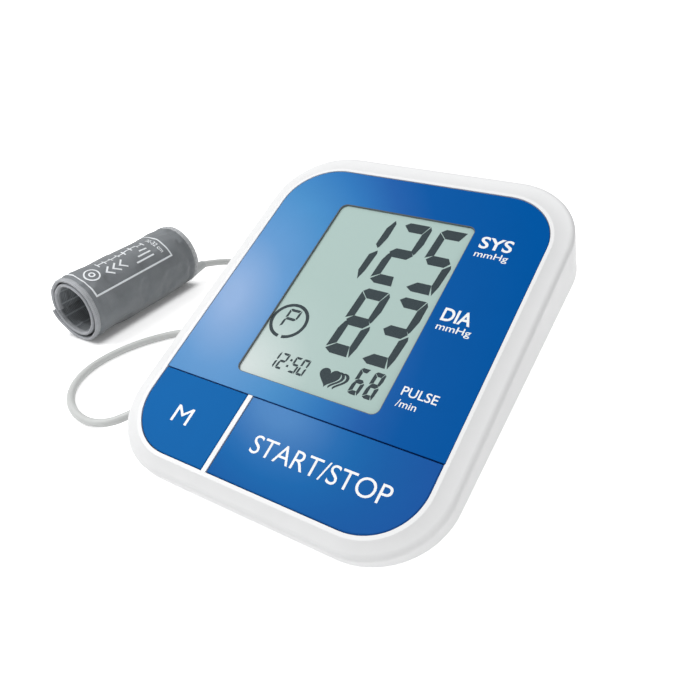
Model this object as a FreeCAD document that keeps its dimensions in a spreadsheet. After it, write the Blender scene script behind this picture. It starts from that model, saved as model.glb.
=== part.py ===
import FreeCAD, Part
import math
import os
import re

import Sketcher
from FreeCAD import Placement, Rotation, Vector

# Upper-arm blood pressure monitor with its rolled cuff and air hose.
# Row frame: millimetres, +Z up, the table at z = 0, +X to the user's right, +Y away from the
# user.  The origin is on the resting plane, straight under the centre of the blue face.
# The "face frame" is that frame lifted by face_height and tipped back by face_tilt about X:
# its XY plane is the top of the blue face and its +Z is the face's outward normal.

SIZES = {
    # wedge of the housing
    "face_tilt": 25.0,
    "face_height": 48.0,
    "split_lean": 6.4,
    "split_front": 6.7,
    # blue face and the white frame round it
    "plate_width": 108.4,
    "plate_length": 132.8,
    "plate_corner": 20.0,
    "plate_thick": 1.5,
    "plate_gap": 0.15,
    "frame_side": 7.2,
    "frame_front": 6.3,
    "frame_back": 10.0,
    "frame_corner": 27.0,
    "lip_width": 1.4,
    "lip_rise": 0.3,
    "ridge_drop": 1.6,
    "ridge_round": 2.4,
    "shell_wall": 2.4,
    "belt_reach": 30.0,
    # display
    "window_width": 56.0,
    "window_length": 80.1,
    "window_corner": 2.8,
    "window_up": 10.1,
    "lens_border": 2.0,
    "lens_thick": 1.0,
    "display_ceiling": 3.5,
    "glass_border": 2.6,
    "glass_thick": 2.2,
    "holder_wall": 2.4,
    "holder_floor": 1.2,
    "fit_gap": 0.1,
    "room_gap": 0.4,
    # keys
    "key_zone": 29.4,
    "key_gap": 0.3,
    "key_thick": 2.4,
    "key_rise": 0.2,
    "key_round": 0.5,
    "key_well": 3.2,
    "well_floor": 1.4,
    "divider_x": 16.3,
    "divider_width": 1.7,
    "stem_radius": 2.0,
    "stem_clear": 0.25,
    "post_radius": 1.5,
    "post_reach": 4.3,
    "start_post_span": 16.0,
    "memory_post_span": 11.0,
    # circuit board and what it carries
    "board_top": 8.2,
    "board_thick": 1.6,
    "board_side_in": 10.2,
    "board_front_in": 6.4,
    "board_back_in": 7.4,
    "post_side_in": 4.0,
    "post_front_in": 19.0,
    "post_back_in": 6.0,
    "boss_radius": 3.0,
    "boss_bore": 1.15,
    "screw_radius": 1.1,
    "screw_head": 2.3,
    "screw_head_tall": 1.4,
    "screw_slack": 0.3,
    "switch_side": 6.0,
    "switch_tall": 2.2,
    "plunger_radius": 1.5,
    "plunger_clear": 0.08,
    "switch_floor": 0.3,
    "plunger_deep": 1.3,
    "plunger_proud": 0.7,
    "press_gap": 0.1,
    "buzzer_radius": 6.0,
    "buzzer_tall": 4.0,
    "sensor_side": 8.0,
    "sensor_tall": 6.5,
    "buzzer_x": 24.0,
    "buzzer_y": -20.4,
    "processor_x": -3.0,
    "processor_y": -24.0,
    "processor_wide": 18.0,
    "processor_long": 14.0,
    "driver_x": -24.5,
    "driver_y": -37.0,
    "driver_wide": 8.5,
    "driver_long": 7.0,
    "chip_tall": 1.2,
    "can_x": 14.5,
    "can_y": -36.0,
    "can_pitch": 7.5,
    "can_radius": 2.5,
    "can_tall": 5.5,
    # case screws
    "pillar_side_in": 2.2,
    "pillar_front_in": 14.4,
    "pillar_back_in": 22.4,
    "pillar_radius": 3.6,
    "pillar_wall": 1.8,
    "pillar_reach": 60.0,
    "case_screw_long": 6.0,
    "case_screw_seat": 3.0,
    # base
    "base_half": 40.0,
    "base_front": 50.0,
    "base_back": 66.0,
    "base_corner": 14.0,
    "base_floor": 3.0,
    "rest_rib": 2.0,
    "rest_rise": 0.8,
    "foot_radius": 3.5,
    "foot_seat": 0.8,
    "foot_side_in": 13.0,
    "foot_front_in": 10.0,
    "foot_back_in": 5.8,
    # battery bay and its door
    "cell_radius": 7.2,
    "cell_long": 49.3,
    "cell_nub": 1.2,
    "cell_nub_radius": 2.7,
    "cell_pitch": 15.2,
    "cell_count": 4,
    "cell_height": 10.8,
    "contact_thick": 0.6,
    "contact_side": 11.0,
    "spring_long": 5.4,
    "spring_base": 4.8,
    "spring_tip": 3.2,
    "bay_front": 5.0,
    "bay_side": 0.9,
    "bay_top": 18.4,
    "bay_roof": 1.4,
    "bay_ledge": 1.8,
    "bay_wall": 2.0,
    "door_thick": 2.0,
    "door_gap": 0.35,
    "hinge_pin": 0.9,
    "hinge_clear": 0.08,
    "hinge_long": 1.4,
    "latch_width": 16.0,
    "latch_reach": 4.0,
    "latch_notch": 1.2,
    # pump, valve and the air paths inside
    "pump_y": 45.0,
    "pump_z": 34.0,
    "motor_radius": 12.0,
    "motor_flat": 10.0,
    "motor_long": 30.0,
    "motor_boss": 4.5,
    "motor_boss_long": 2.0,
    "head_side": 25.0,
    "head_long": 25.0,
    "head_left": 43.0,
    "crank_room": 7.0,
    "crank_deep": 9.0,
    "shaft_radius": 1.0,
    "shaft_clear": 0.06,
    "shaft_back": 24.0,
    "crank_radius": 4.0,
    "crank_offset": 1.5,
    "crank_thick": 3.0,
    "cradle_wall": 1.6,
    "cradle_rise": 9.0,
    "nozzle_radius": 1.5,
    "nozzle_long": 3.0,
    "valve_x": 22.0,
    "valve_long": 20.0,
    "valve_side": 8.4,
    "valve_bore": 2.1,
    "valve_clear": 0.06,
    "valve_pin": 12.0,
    "valve_travel": 0.8,
    "valve_proud": 1.0,
    "air_x": 28.0,
    "air_y": 12.0,
    "air_z": 24.0,
    "tee_side": 7.0,
    "inner_tube": 4.2,
    "tube_run": 16.0,
    "sensor_run": 9.0,
    "inner_bore": 1.6,
    "tube_slack": 0.3,
    # air socket in the left flank
    "socket_y": -35.0,
    "socket_z": 10.5,
    "socket_face": 55.0,
    "socket_radius": 6.0,
    "socket_long": 11.0,
    "socket_flange": 7.2,
    "socket_flange_thick": 1.2,
    "socket_bore": 3.9,
    "socket_bore_deep": 9.0,
    "socket_boss": 8.0,
    "plug_clear": 0.08,
    "plug_deep": 8.0,
    "plug_gap": 0.2,
    "plug_grip": 5.4,
    "plug_grip_long": 5.0,
    "plug_shoulder": 4.6,
    "plug_neck": 2.6,
    "plug_neck_long": 5.0,
    # hose
    "hose_radius": 1.7,
    "coil_x": -80.0,
    "coil_y": 60.0,
    "coil_radius": 26.0,
    "coil_turns": 2.2,
    "floor_gap": 0.1,
    # rolled cuff
    "cuff_x": -148.0,
    "cuff_front": -4.0,
    "cuff_long": 68.0,
    "cuff_radius": 16.0,
    "cuff_thick": 1.9,
    "cuff_pitch": 2.1,
    "cuff_half_turns": 4,
    "cuff_flap_turn": -74.0,
    "cuff_binding": 3.0,
    "bladder_skin": 0.5,
    "bladder_gap": 0.1,
    "bladder_half_angle": 70.0,
    "bladder_front": 7.0,
    "boot_angle": -38.0,
    "boot_radius": 3.0,
    "boot_long": 8.0,
    "boot_tip": 2.0,
}

doc = FreeCAD.newDocument("ArmMonitor")
sheet = doc.addObject("Spreadsheet::Sheet", "Sizes")
for row, (alias, value) in enumerate(SIZES.items(), start=1):
    sheet.set("A%d" % row, alias)
    sheet.set("B%d" % row, str(value))
    sheet.setAlias("B%d" % row, alias)
doc.recompute()

NODES = []


def size(alias):
    """A driving dimension, read back from the sheet."""
    return float(sheet.get(alias))


def sized(expression):
    """An expression over the aliases, in the form that the document's objects read."""
    return re.sub("[a-z_]+", lambda m: "Sizes." * (m.group() in SIZES) + m.group(), expression)


def number(expression):
    """What an expression over the aliases comes to now."""
    found = sheet.evalExpression(sized(expression))
    return float(getattr(found, "Value", found))


def bind(item, prop, expression):
    item.setExpression(prop, sized(expression))


FACE = Placement(Vector(0, 0, size("face_height")), Rotation(Vector(1, 0, 0), size("face_tilt")))


def on_face(x, y, z):
    """A point of the face frame, in the row frame."""
    return FACE.multVec(Vector(x, y, z))


def node(thing, label):
    """Keep an object as the sub-part of that name."""
    thing.Label = label
    NODES.append(thing)
    return thing


# ---------------------------------------------------------------- sketches and features


def new_body(label, placement=None):
    body = doc.addObject("PartDesign::Body", label)
    body.Placement = placement or Placement()
    return body


def new_sketch(body, name, height="0", role="XY_Plane", shift="0", lean="0"):
    """A sketch on an origin plane, lifted by height, shifted along Y and leant about X."""
    sketch = body.newObject("Sketcher::SketchObject", name)
    plane = [f for f in body.Origin.OriginFeatures if f.Role == role][0]
    sketch.AttachmentSupport = [(plane, "")]
    sketch.MapMode = "FlatFace"
    place = Vector(0, number(shift), number(height))
    sketch.AttachmentOffset = Placement(place, Rotation(Vector(1, 0, 0), number(lean)))
    bind(sketch, "AttachmentOffset.Base.z", height)
    bind(sketch, "AttachmentOffset.Base.y", shift)
    return sketch


def hold(sketch, kind, geometry, point, expression):
    """Pin a point's X or Y to an expression."""
    value = number(expression)
    if abs(value) < 1e-9:
        axis = -2 if kind == "DistanceX" else -1
        sketch.addConstraint(Sketcher.Constraint("PointOnObject", geometry, point, axis))
        return
    index = sketch.addConstraint(Sketcher.Constraint(kind, -1, 1, geometry, point, value))
    bind(sketch, "Constraints[%d]" % index, expression)


def draw_outline(sketch, left, right, bottom, top, radii):
    """A rectangle by its four sides; radii are its corners' expressions, or None if square.

    The corners run bottom right, top right, top left, bottom left.
    """
    x0, x1 = number(left), number(right)
    y0, y1 = number(bottom), number(top)
    corners = [Vector(x1, y0, 0), Vector(x1, y1, 0), Vector(x0, y1, 0), Vector(x0, y0, 0)]
    ways = [Vector(1, 0, 0), Vector(0, 1, 0), Vector(-1, 0, 0), Vector(0, -1, 0)]
    rounds = [number(r) if r else 0.0 for r in radii]
    first = sketch.GeometryCount
    for side in range(4):
        start = corners[side - 1] + ways[side] * rounds[side - 1]
        end = corners[side] - ways[side] * rounds[side]
        sketch.addGeometry(Part.LineSegment(start, end), False)
        level = "Horizontal" if side % 2 == 0 else "Vertical"
        sketch.addConstraint(Sketcher.Constraint(level, first + side))
    for side in range(4):
        after = first + (side + 1) % 4
        if not rounds[side]:
            sketch.addConstraint(Sketcher.Constraint("Coincident", first + side, 2, after, 1))
            continue
        centre = corners[side] + (ways[(side + 1) % 4] - ways[side]) * rounds[side]
        circle = Part.Circle(centre, Vector(0, 0, 1), rounds[side])
        turn = math.radians(90.0 * side - 90.0)
        arc = sketch.addGeometry(Part.ArcOfCircle(circle, turn, turn + math.pi / 2), False)
        sketch.addConstraint(Sketcher.Constraint("Tangent", first + side, 2, arc, 1))
        sketch.addConstraint(Sketcher.Constraint("Tangent", arc, 2, after, 1))
        index = sketch.addConstraint(Sketcher.Constraint("Radius", arc, rounds[side]))
        bind(sketch, "Constraints[%d]" % index, radii[side])
    hold(sketch, "DistanceY", first, 1, bottom)
    hold(sketch, "DistanceX", first + 1, 1, right)
    hold(sketch, "DistanceY", first + 2, 1, top)
    hold(sketch, "DistanceX", first + 3, 1, left)


def draw_circle(sketch, x, y, radius):
    centre = Vector(number(x), number(y), 0)
    circle = Part.Circle(centre, Vector(0, 0, 1), number(radius))
    index = sketch.addGeometry(circle, False)
    hold(sketch, "DistanceX", index, 3, x)
    hold(sketch, "DistanceY", index, 3, y)
    fixed = sketch.addConstraint(Sketcher.Constraint("Radius", index, number(radius)))
    bind(sketch, "Constraints[%d]" % fixed, radius)


def extrude(body, kind, sketch, length, reverse=False):
    """Pad upwards or pocket downwards from a sketch; reverse turns either round."""
    feature = body.newObject("PartDesign::" + kind, sketch.Name + kind)
    feature.Profile = sketch
    bind(feature, "Length", length)
    feature.Reversed = reverse
    sketch.Visibility = False
    doc.recompute()
    return feature


def blend(body, kind, sketches):
    """A ruled loft through sketches of the same make."""
    feature = body.newObject("PartDesign::" + kind, sketches[0].Name + kind)
    feature.Profile = sketches[0]
    feature.Sections = sketches[1:]
    feature.Ruled = True
    doc.recompute()
    return feature


def revolve(body, sketch, axis="V_Axis"):
    feature = body.newObject("PartDesign::Revolution", sketch.Name + "Revolution")
    feature.Profile = sketch
    feature.ReferenceAxis = (sketch, [axis])
    feature.Angle = 360
    doc.recompute()
    return feature


def edges_where(feature, test):
    """Names of a feature's edges whose every vertex and middle pass the test."""
    names = []
    for index, edge in enumerate(feature.Shape.Edges, start=1):
        middle = edge.valueAt((edge.FirstParameter + edge.LastParameter) / 2)
        if all(test(p) for p in [v.Point for v in edge.Vertexes] + [middle]):
            names.append("Edge%d" % index)
    return names


def round_edges(body, base, names, radius):
    feature = body.newObject("PartDesign::Fillet", base.Name + "Fillet")
    feature.Base = (base, names)
    bind(feature, "Radius", radius)
    doc.recompute()
    return feature


# ---------------------------------------------------------------- Part primitives


def box(name, x0, x1, y0, y1, z0, z1, frame=None):
    """A Part::Box between six expressions, in the row frame or the face frame."""
    item = doc.addObject("Part::Box", name)
    low = [number(e) for e in (x0, y0, z0)]
    bind(item, "Length", "(%s) - (%s)" % (x1, x0))
    bind(item, "Width", "(%s) - (%s)" % (y1, y0))
    bind(item, "Height", "(%s) - (%s)" % (z1, z0))
    item.Placement = (frame or Placement()).multiply(Placement(Vector(*low), Rotation()))
    return item


def rod(name, radius, length, start, way=Vector(0, 0, 1), frame=None):
    """A Part::Cylinder from a start point along a direction."""
    item = doc.addObject("Part::Cylinder", name)
    bind(item, "Radius", radius)
    bind(item, "Height", length)
    place = Placement(start, Rotation(Vector(0, 0, 1), way))
    item.Placement = (frame or Placement()).multiply(place)
    return item


def cut(name, base, tool):
    item = doc.addObject("Part::Cut", name)
    item.Base = base
    item.Tool = tool
    return item


def fuse(name, items):
    item = doc.addObject("Part::MultiFuse", name)
    item.Shapes = items
    return item


def common(name, items):
    item = doc.addObject("Part::MultiCommon", name)
    item.Shapes = items
    return item


def group(name, items):
    """Separate like solids kept as one node."""
    item = doc.addObject("Part::Compound", name)
    item.Links = items
    return item


def solid(name, shape, placement=None):
    item = doc.addObject("Part::Feature", name)
    item.Shape = shape
    if placement:
        item.Placement = placement
    return item


def tube(name, points, radius):
    """A round tube along straight runs, with the widest tangent arc that each corner takes."""
    edges = []
    radii = []
    start = points[0]
    for before, corner, after in zip(points, points[1:], points[2:]):
        arriving = corner - before
        leaving = after - corner
        trim = ARC_SHARE * min(arriving.Length, leaving.Length)
        half_turn = arriving.getAngle(leaving) / 2
        bend = trim / math.tan(half_turn)
        radii.append(bend)
        arriving.normalize()
        leaving.normalize()
        inward = leaving - arriving
        inward.normalize()
        enter = corner - arriving * trim
        leave = corner + leaving * trim
        middle = corner + inward * bend * (1 / math.cos(half_turn) - 1)
        edges.append(Part.LineSegment(start, enter).toShape())
        edges.append(Part.Arc(enter, middle, leave).toShape())
        start = leave
    edges.append(Part.LineSegment(start, points[-1]).toShape())
    path = Part.Wire(edges)
    ring = Part.Wire([Part.makeCircle(radius, points[0], points[1] - points[0])])
    pipe = path.makePipeShell([ring], True, True)
    wanted = math.pi * radius ** 2 * path.Length
    print("%s: length %.1f, radii %s, volume %.4f of its section times its length"
          % (name, path.Length, " ".join("%.0f" % r for r in radii) or "none",
             pipe.Volume / wanted))
    return pipe


# ---------------------------------------------------------------- shared outlines

ARC_SHARE = 0.45

HALF_PLATE = "plate_width / 2"
PLATE_FRONT = "-plate_length / 2"
PLATE_BACK = "plate_length / 2"
SPLIT_LINE = "-plate_length / 2 + key_zone"
BELT_FRONT = "-plate_length / 2 - frame_front"
BELT_BACK = "plate_length / 2 + frame_back"
WELL_BOTTOM = "-key_well - well_floor"
BOARD_UNDER = "-board_top - board_thick"
START_LEFT = "-divider_x + divider_width / 2"
MEMORY_RIGHT = "-divider_x - divider_width / 2"
START_MIDDLE = "(plate_width / 2 - divider_x + divider_width / 2) / 2"
MEMORY_MIDDLE = "(-plate_width / 2 - divider_x - divider_width / 2) / 2"
KEY_MIDDLE = "-plate_length / 2 + key_zone / 2"
HOLDER_HALF = "window_width / 2 + glass_border + fit_gap + holder_wall"
HOLDER_FRONT = "window_up - window_length / 2 - glass_border - fit_gap - holder_wall"
HOLDER_BACK = "window_up + window_length / 2 + glass_border + fit_gap + holder_wall"
SPLIT_AT = "-split_front - (plate_length / 2 + frame_front + (%s)) * tan(split_lean)"
PILLAR_SIDE = "(plate_width / 2 - pillar_side_in)"
PILLAR_FRONT = "(-plate_length / 2 + pillar_front_in)"
PILLAR_BACK = "(plate_length / 2 - pillar_back_in)"
SEAT_FRONT = SPLIT_AT % PILLAR_FRONT + " + room_gap"
SEAT_BACK = SPLIT_AT % PILLAR_BACK + " + room_gap"
BOARD_HALF = "(plate_width / 2 - board_side_in)"
BOARD_FRONT = "(-plate_length / 2 + board_front_in)"
BOARD_BACK = "(plate_length / 2 - board_back_in)"
BAY_HALF = "cell_pitch * (cell_count - 1) / 2 + cell_radius + bay_side"
BAY_FRONT = "-bay_front"
BAY_BACK = "-bay_front + contact_thick * 2 + spring_long + cell_long + cell_nub"


def draw_belt(sketch, inset="0"):
    """The housing's outline in plan on the face, drawn in by inset."""
    side = "(plate_width / 2 + frame_side - (%s))" % inset
    radius = "frame_corner - (%s)" % inset
    front = "%s + (%s)" % (BELT_FRONT, inset)
    back = "%s - (%s)" % (BELT_BACK, inset)
    draw_outline(sketch, "-" + side, side, front, back, [radius] * 4)


def draw_window(sketch, border, corner):
    """The display window's rectangle, widened by border."""
    half = "(window_width / 2 + (%s))" % border
    front = "window_up - window_length / 2 - (%s)" % border
    back = "window_up + window_length / 2 + (%s)" % border
    draw_outline(sketch, "-" + half, half, front, back, [corner] * 4)


def draw_panel(sketch, gap):
    """The blue display panel: round at its far corners, square along the keys."""
    corner = "plate_corner + (%s)" % gap
    left = "-%s - (%s)" % (HALF_PLATE, gap)
    right = "%s + (%s)" % (HALF_PLATE, gap)
    front = "%s - (%s)" % (SPLIT_LINE, gap)
    back = "%s + (%s)" % (PLATE_BACK, gap)
    draw_outline(sketch, left, right, front, back, [None, corner, corner, None])


def draw_memory_key(sketch, gap):
    """The left key, drawn in by gap from its well."""
    corner = "plate_corner - (%s)" % gap
    left = "-%s + (%s)" % (HALF_PLATE, gap)
    right = "%s - (%s)" % (MEMORY_RIGHT, gap)
    front = "%s + (%s)" % (PLATE_FRONT, gap)
    back = "%s - (%s)" % (SPLIT_LINE, gap)
    draw_outline(sketch, left, right, front, back, [None, None, None, corner])


def draw_start_key(sketch, gap):
    """The right key, drawn in by gap from its well."""
    corner = "plate_corner - (%s)" % gap
    left = "%s + (%s)" % (START_LEFT, gap)
    right = "%s - (%s)" % (HALF_PLATE, gap)
    front = "%s + (%s)" % (PLATE_FRONT, gap)
    back = "%s - (%s)" % (SPLIT_LINE, gap)
    draw_outline(sketch, left, right, front, back, [corner, None, None, None])


def key_posts(middle, span):
    """Centres of a key's two guide posts."""
    return [("%s + %s" % (middle, span), KEY_MIDDLE), ("%s - %s" % (middle, span), KEY_MIDDLE)]


def board_posts():
    side = "(%s - post_side_in)" % BOARD_HALF
    return [(x, y) for x in (side, "-" + side)
            for y in (BOARD_FRONT + " + post_front_in", BOARD_BACK + " - post_back_in")]


# ---------------------------------------------------------------- housing


def make_top_shell():
    """The white moulding: belt, sloping frame, lip, wells, windows, posts and pillars."""
    body = new_body("TopShell", FACE)
    belt = new_sketch(body, "Belt", "-ridge_drop")
    draw_belt(belt)
    extrude(body, "Pad", belt, "belt_reach", reverse=True)
    ridge = new_sketch(body, "Ridge", "-ridge_drop")
    draw_belt(ridge)
    lip = new_sketch(body, "Lip", "lip_rise")
    half = "(%s + lip_width)" % HALF_PLATE
    front = "%s - lip_width" % PLATE_FRONT
    back = "%s + lip_width" % PLATE_BACK
    draw_outline(lip, "-" + half, half, front, back, ["plate_corner + lip_width"] * 4)
    frame = blend(body, "AdditiveLoft", [ridge, lip])
    level = size("ridge_drop")
    names = edges_where(frame, lambda p: abs(p.z + level) < 1e-4)
    round_edges(body, frame, names, "ridge_round")

    cavity = new_sketch(body, "Cavity", WELL_BOTTOM)
    draw_belt(cavity, "shell_wall")
    extrude(body, "Pocket", cavity, "belt_reach")
    room = new_sketch(body, "DisplayRoom", WELL_BOTTOM)
    half = "(%s + room_gap)" % HOLDER_HALF
    front = "%s - room_gap" % HOLDER_FRONT
    back = "%s + room_gap" % HOLDER_BACK
    draw_outline(room, "-" + half, half, front, back, [None] * 4)
    extrude(body, "Pocket", room, "key_well + well_floor - display_ceiling", reverse=True)

    split = new_sketch(body, "Split", "-split_front", shift=BELT_FRONT, lean="-split_lean")
    half = "(%s + frame_side + belt_reach)" % HALF_PLATE
    back = "plate_length + frame_front + frame_back + belt_reach"
    draw_outline(split, "-" + half, half, "-belt_reach", back, [None] * 4)
    extrude(body, "Pocket", split, "belt_reach * 2")

    recess = new_sketch(body, "PanelRecess", "-plate_thick")
    draw_panel(recess, "plate_gap")
    extrude(body, "Pocket", recess, "plate_thick + lip_rise * 2", reverse=True)
    for name, draw in (("MemoryWell", draw_memory_key), ("StartWell", draw_start_key)):
        well = new_sketch(body, name, "-key_well")
        draw(well, "0")
        extrude(body, "Pocket", well, "key_well + lip_rise * 2", reverse=True)
    opening = new_sketch(body, "DisplayOpening", "lip_rise")
    draw_window(opening, "lens_border / 2", "window_corner")
    extrude(body, "Pocket", opening, "key_well + well_floor + lip_rise")
    rebate = new_sketch(body, "LensRebate", "-plate_thick - lens_thick")
    draw_window(rebate, "lens_border + fit_gap", "window_corner")
    extrude(body, "Pocket", rebate, "lens_thick + lip_rise", reverse=True)

    holes = new_sketch(body, "KeyHoles", "-key_well")
    for middle, span in ((START_MIDDLE, "start_post_span"), (MEMORY_MIDDLE, "memory_post_span")):
        draw_circle(holes, middle, KEY_MIDDLE, "stem_radius + stem_clear")
        for x, y in key_posts(middle, span):
            draw_circle(holes, x, y, "post_radius + stem_clear")
    extrude(body, "Pocket", holes, "well_floor * 2")

    bosses = new_sketch(body, "BoardPosts", "-board_top")
    for x, y in board_posts():
        draw_circle(bosses, x, y, "boss_radius")
        draw_circle(bosses, x, y, "boss_bore")
    extrude(body, "Pad", bosses, "board_top - key_well - well_floor / 2")
    for name, y, seat in (("FrontPillars", PILLAR_FRONT, SEAT_FRONT),
                          ("BackPillars", PILLAR_BACK, SEAT_BACK)):
        pillars = new_sketch(body, name, seat)
        for x in (PILLAR_SIDE, "-" + PILLAR_SIDE):
            draw_circle(pillars, x, y, "pillar_radius")
            draw_circle(pillars, x, y, "boss_bore")
        extrude(body, "Pad", pillars, "-key_well - well_floor / 2 - (%s)" % seat)
    node(body, "top_shell")


def hull(name, base_level, inset):
    """The tapering under-body, from the base outline up to the split plane."""
    body = new_body(name)
    base = new_sketch(body, name + "Base", base_level)
    half = "(base_half - (%s))" % inset
    front = "-base_front + (%s)" % inset
    back = "base_back - (%s)" % inset
    draw_outline(base, "-" + half, half, front, back, ["base_corner - (%s)" % inset] * 4)
    along = "(plate_length / 2 + frame_front)"
    height = "face_height - %s * sin(face_tilt) - split_front * cos(face_tilt)" % along
    shift = "split_front * sin(face_tilt) - %s * cos(face_tilt)" % along
    rim = new_sketch(body, name + "Rim", height, shift=shift, lean="face_tilt - split_lean")
    half = "(%s + frame_side - (%s))" % (HALF_PLATE, inset)
    back = "(plate_length + frame_front + frame_back) / cos(split_lean) - (%s)" % inset
    draw_outline(rim, "-" + half, half, inset, back, ["frame_corner - (%s)" % inset] * 4)
    blend(body, "AdditiveLoft", [base, rim])
    return body


def screw_places():
    """The four case screws: x, y and seat, as expressions in the face frame."""
    return [(x, y, seat) for x in (PILLAR_SIDE, "-" + PILLAR_SIDE)
            for y, seat in ((PILLAR_FRONT, SEAT_FRONT), (PILLAR_BACK, SEAT_BACK))]


def at_face(x, y, z):
    return Vector(number(x), number(y), number(z))


def make_bottom_shell():
    """The tapering under-body with its screw wells, battery bay, socket boss and rest rib."""
    outer = hull("HullOuter", "0", "0")
    inner = hull("HullInner", "base_floor", "shell_wall")
    shell = cut("HullShell", outer, inner)

    columns = []
    holes = []
    for index, (x, y, seat) in enumerate(screw_places()):
        foot = at_face(x, y, "%s - pillar_reach" % seat)
        well = at_face(x, y, "%s - case_screw_seat - pillar_reach" % seat)
        wide = "screw_head + screw_slack + pillar_wall"
        columns.append(rod("Column%d" % index, wide, "pillar_reach", foot, frame=FACE))
        holes.append(rod("ScrewWell%d" % index, "screw_head + screw_slack", "pillar_reach", well,
                         frame=FACE))
        holes.append(rod("ScrewHole%d" % index, "boss_bore + fit_gap", "pillar_reach * 2", well,
                         frame=FACE))
    pillars = common("PillarsInHull", [outer, fuse("Columns", columns)])

    wall = "(%s + bay_ledge + bay_wall)" % BAY_HALF
    ledge = "(%s + bay_ledge)" % BAY_HALF
    bay = box("BayWalls", "-" + wall, wall, BAY_FRONT + " - bay_ledge - bay_wall",
              BAY_BACK + " + bay_ledge + bay_wall", "rest_rise", "bay_top + bay_roof")
    room = box("BayRoom", "-(%s)" % BAY_HALF, BAY_HALF, BAY_FRONT, BAY_BACK, "-rest_rise", "bay_top")
    door_room = box("DoorRoom", "-" + ledge, ledge, BAY_FRONT + " - bay_ledge",
                    BAY_BACK + " + bay_ledge", "-rest_rise", "rest_rise + door_thick + fit_gap")
    notch_half = "(latch_width / 2 + door_gap)"
    latch = box("LatchNotch", "-" + notch_half, notch_half,
                BAY_FRONT + " - bay_ledge - latch_reach - door_gap", BAY_FRONT, "-rest_rise",
                "rest_rise + latch_notch + fit_gap")
    pin_start = Vector(-number("%s + hinge_long + fit_gap" % ledge), number(HINGE_Y),
                       number(HINGE_Z))
    pins = rod("HingeHoles", "hinge_pin + hinge_clear",
               "2 * (%s + hinge_long + fit_gap)" % ledge, pin_start, Vector(1, 0, 0))

    under = new_body("UnderRecess")
    plan = new_sketch(under, "UnderPlan", "-rest_rise")
    half = "(base_half - rest_rib)"
    draw_outline(plan, "-" + half, half, "-base_front + rest_rib", "base_back - rest_rib",
                 ["base_corner - rest_rib"] * 4)
    extrude(under, "Pad", plan, "rest_rise * 2")
    feet = [rod("FootSeat%d" % i, "foot_radius + fit_gap", "foot_seat",
                Vector(x, y, size("rest_rise"))) for i, (x, y) in enumerate(foot_places())]

    face = -size("socket_face")
    mouth = Vector(face, size("socket_y"), size("socket_z"))
    boss = rod("SocketBoss", "socket_boss", "socket_long", mouth, Vector(1, 0, 0))
    bore = rod("SocketBore", "socket_radius + fit_gap", "socket_long * 2",
               mouth - Vector(size("socket_long"), 0, 0), Vector(1, 0, 0))
    recess = rod("SocketRecess", "socket_flange + fit_gap", "socket_long", mouth,
                 Vector(-1, 0, 0))
    solids = fuse("UnderSolids", [shell, pillars, bay, boss])
    tools = fuse("UnderTools", [room, door_room, latch, pins, under, bore, recess] + feet + holes)
    node(cut("BottomShell", solids, tools), "bottom_shell")


HINGE_Y = BAY_BACK + " + bay_ledge - door_gap - door_thick / 2"
HINGE_Z = "rest_rise + door_thick / 2"


def foot_places():
    side = number("base_half - foot_side_in")
    return [(x, y) for x in (-side, side)
            for y in (number("-base_front + foot_front_in"), number("base_back - foot_back_in"))]


def make_feet():
    feet = [rod("Foot%d" % i, "foot_radius", "rest_rise + foot_seat", Vector(x, y, 0))
            for i, (x, y) in enumerate(foot_places())]
    node(group("RubberFeet", feet), "rubber_feet")


def make_battery_door():
    """The door: a plate, a round hinge edge with its two pins, and a latch tongue."""
    side = "(%s + bay_ledge - door_gap)" % BAY_HALF
    front = BAY_FRONT + " - bay_ledge + door_gap"
    plate = box("DoorPlate", "-" + side, side, front, HINGE_Y, "rest_rise",
                "rest_rise + door_thick")
    start = Vector(-number(side), number(HINGE_Y), number(HINGE_Z))
    edge = rod("DoorEdge", "door_thick / 2", "2 * " + side, start, Vector(1, 0, 0))
    reach = "(%s + door_gap + hinge_long)" % side
    start = Vector(-number(reach), number(HINGE_Y), number(HINGE_Z))
    pins = rod("DoorPins", "hinge_pin", "2 * " + reach, start, Vector(1, 0, 0))
    latch = box("DoorLatch", "-latch_width / 2", "latch_width / 2", front + " - latch_reach",
                front + " + latch_reach", "rest_rise", "rest_rise + latch_notch")
    node(fuse("BatteryDoor", [plate, edge, pins, latch]), "battery_door")


def make_case_screws():
    screws = []
    for index, (x, y, seat) in enumerate(screw_places()):
        under = at_face(x, y, "%s - case_screw_seat - screw_head_tall" % seat)
        head = rod("CaseHead%d" % index, "screw_head", "screw_head_tall", under, frame=FACE)
        shank = rod("CaseShank%d" % index, "screw_radius", "screw_head_tall + case_screw_long",
                    under, frame=FACE)
        screws.append(fuse("CaseScrew%d" % index, [head, shank]))
    node(group("CaseScrews", screws), "case_screws")


# ---------------------------------------------------------------- face, display and keys


def make_face_panel():
    body = new_body("FacePanel", FACE)
    plan = new_sketch(body, "PanelPlan", "-plate_thick")
    draw_panel(plan, "0 - plate_gap")
    draw_window(plan, "0", "window_corner")
    extrude(body, "Pad", plan, "plate_thick")
    node(body, "face_panel")


def make_lens():
    body = new_body("DisplayLens", FACE)
    plan = new_sketch(body, "LensPlan", "-plate_thick - lens_thick")
    draw_window(plan, "lens_border", "window_corner")
    extrude(body, "Pad", plan, "lens_thick")
    node(body, "display_lens")


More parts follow.
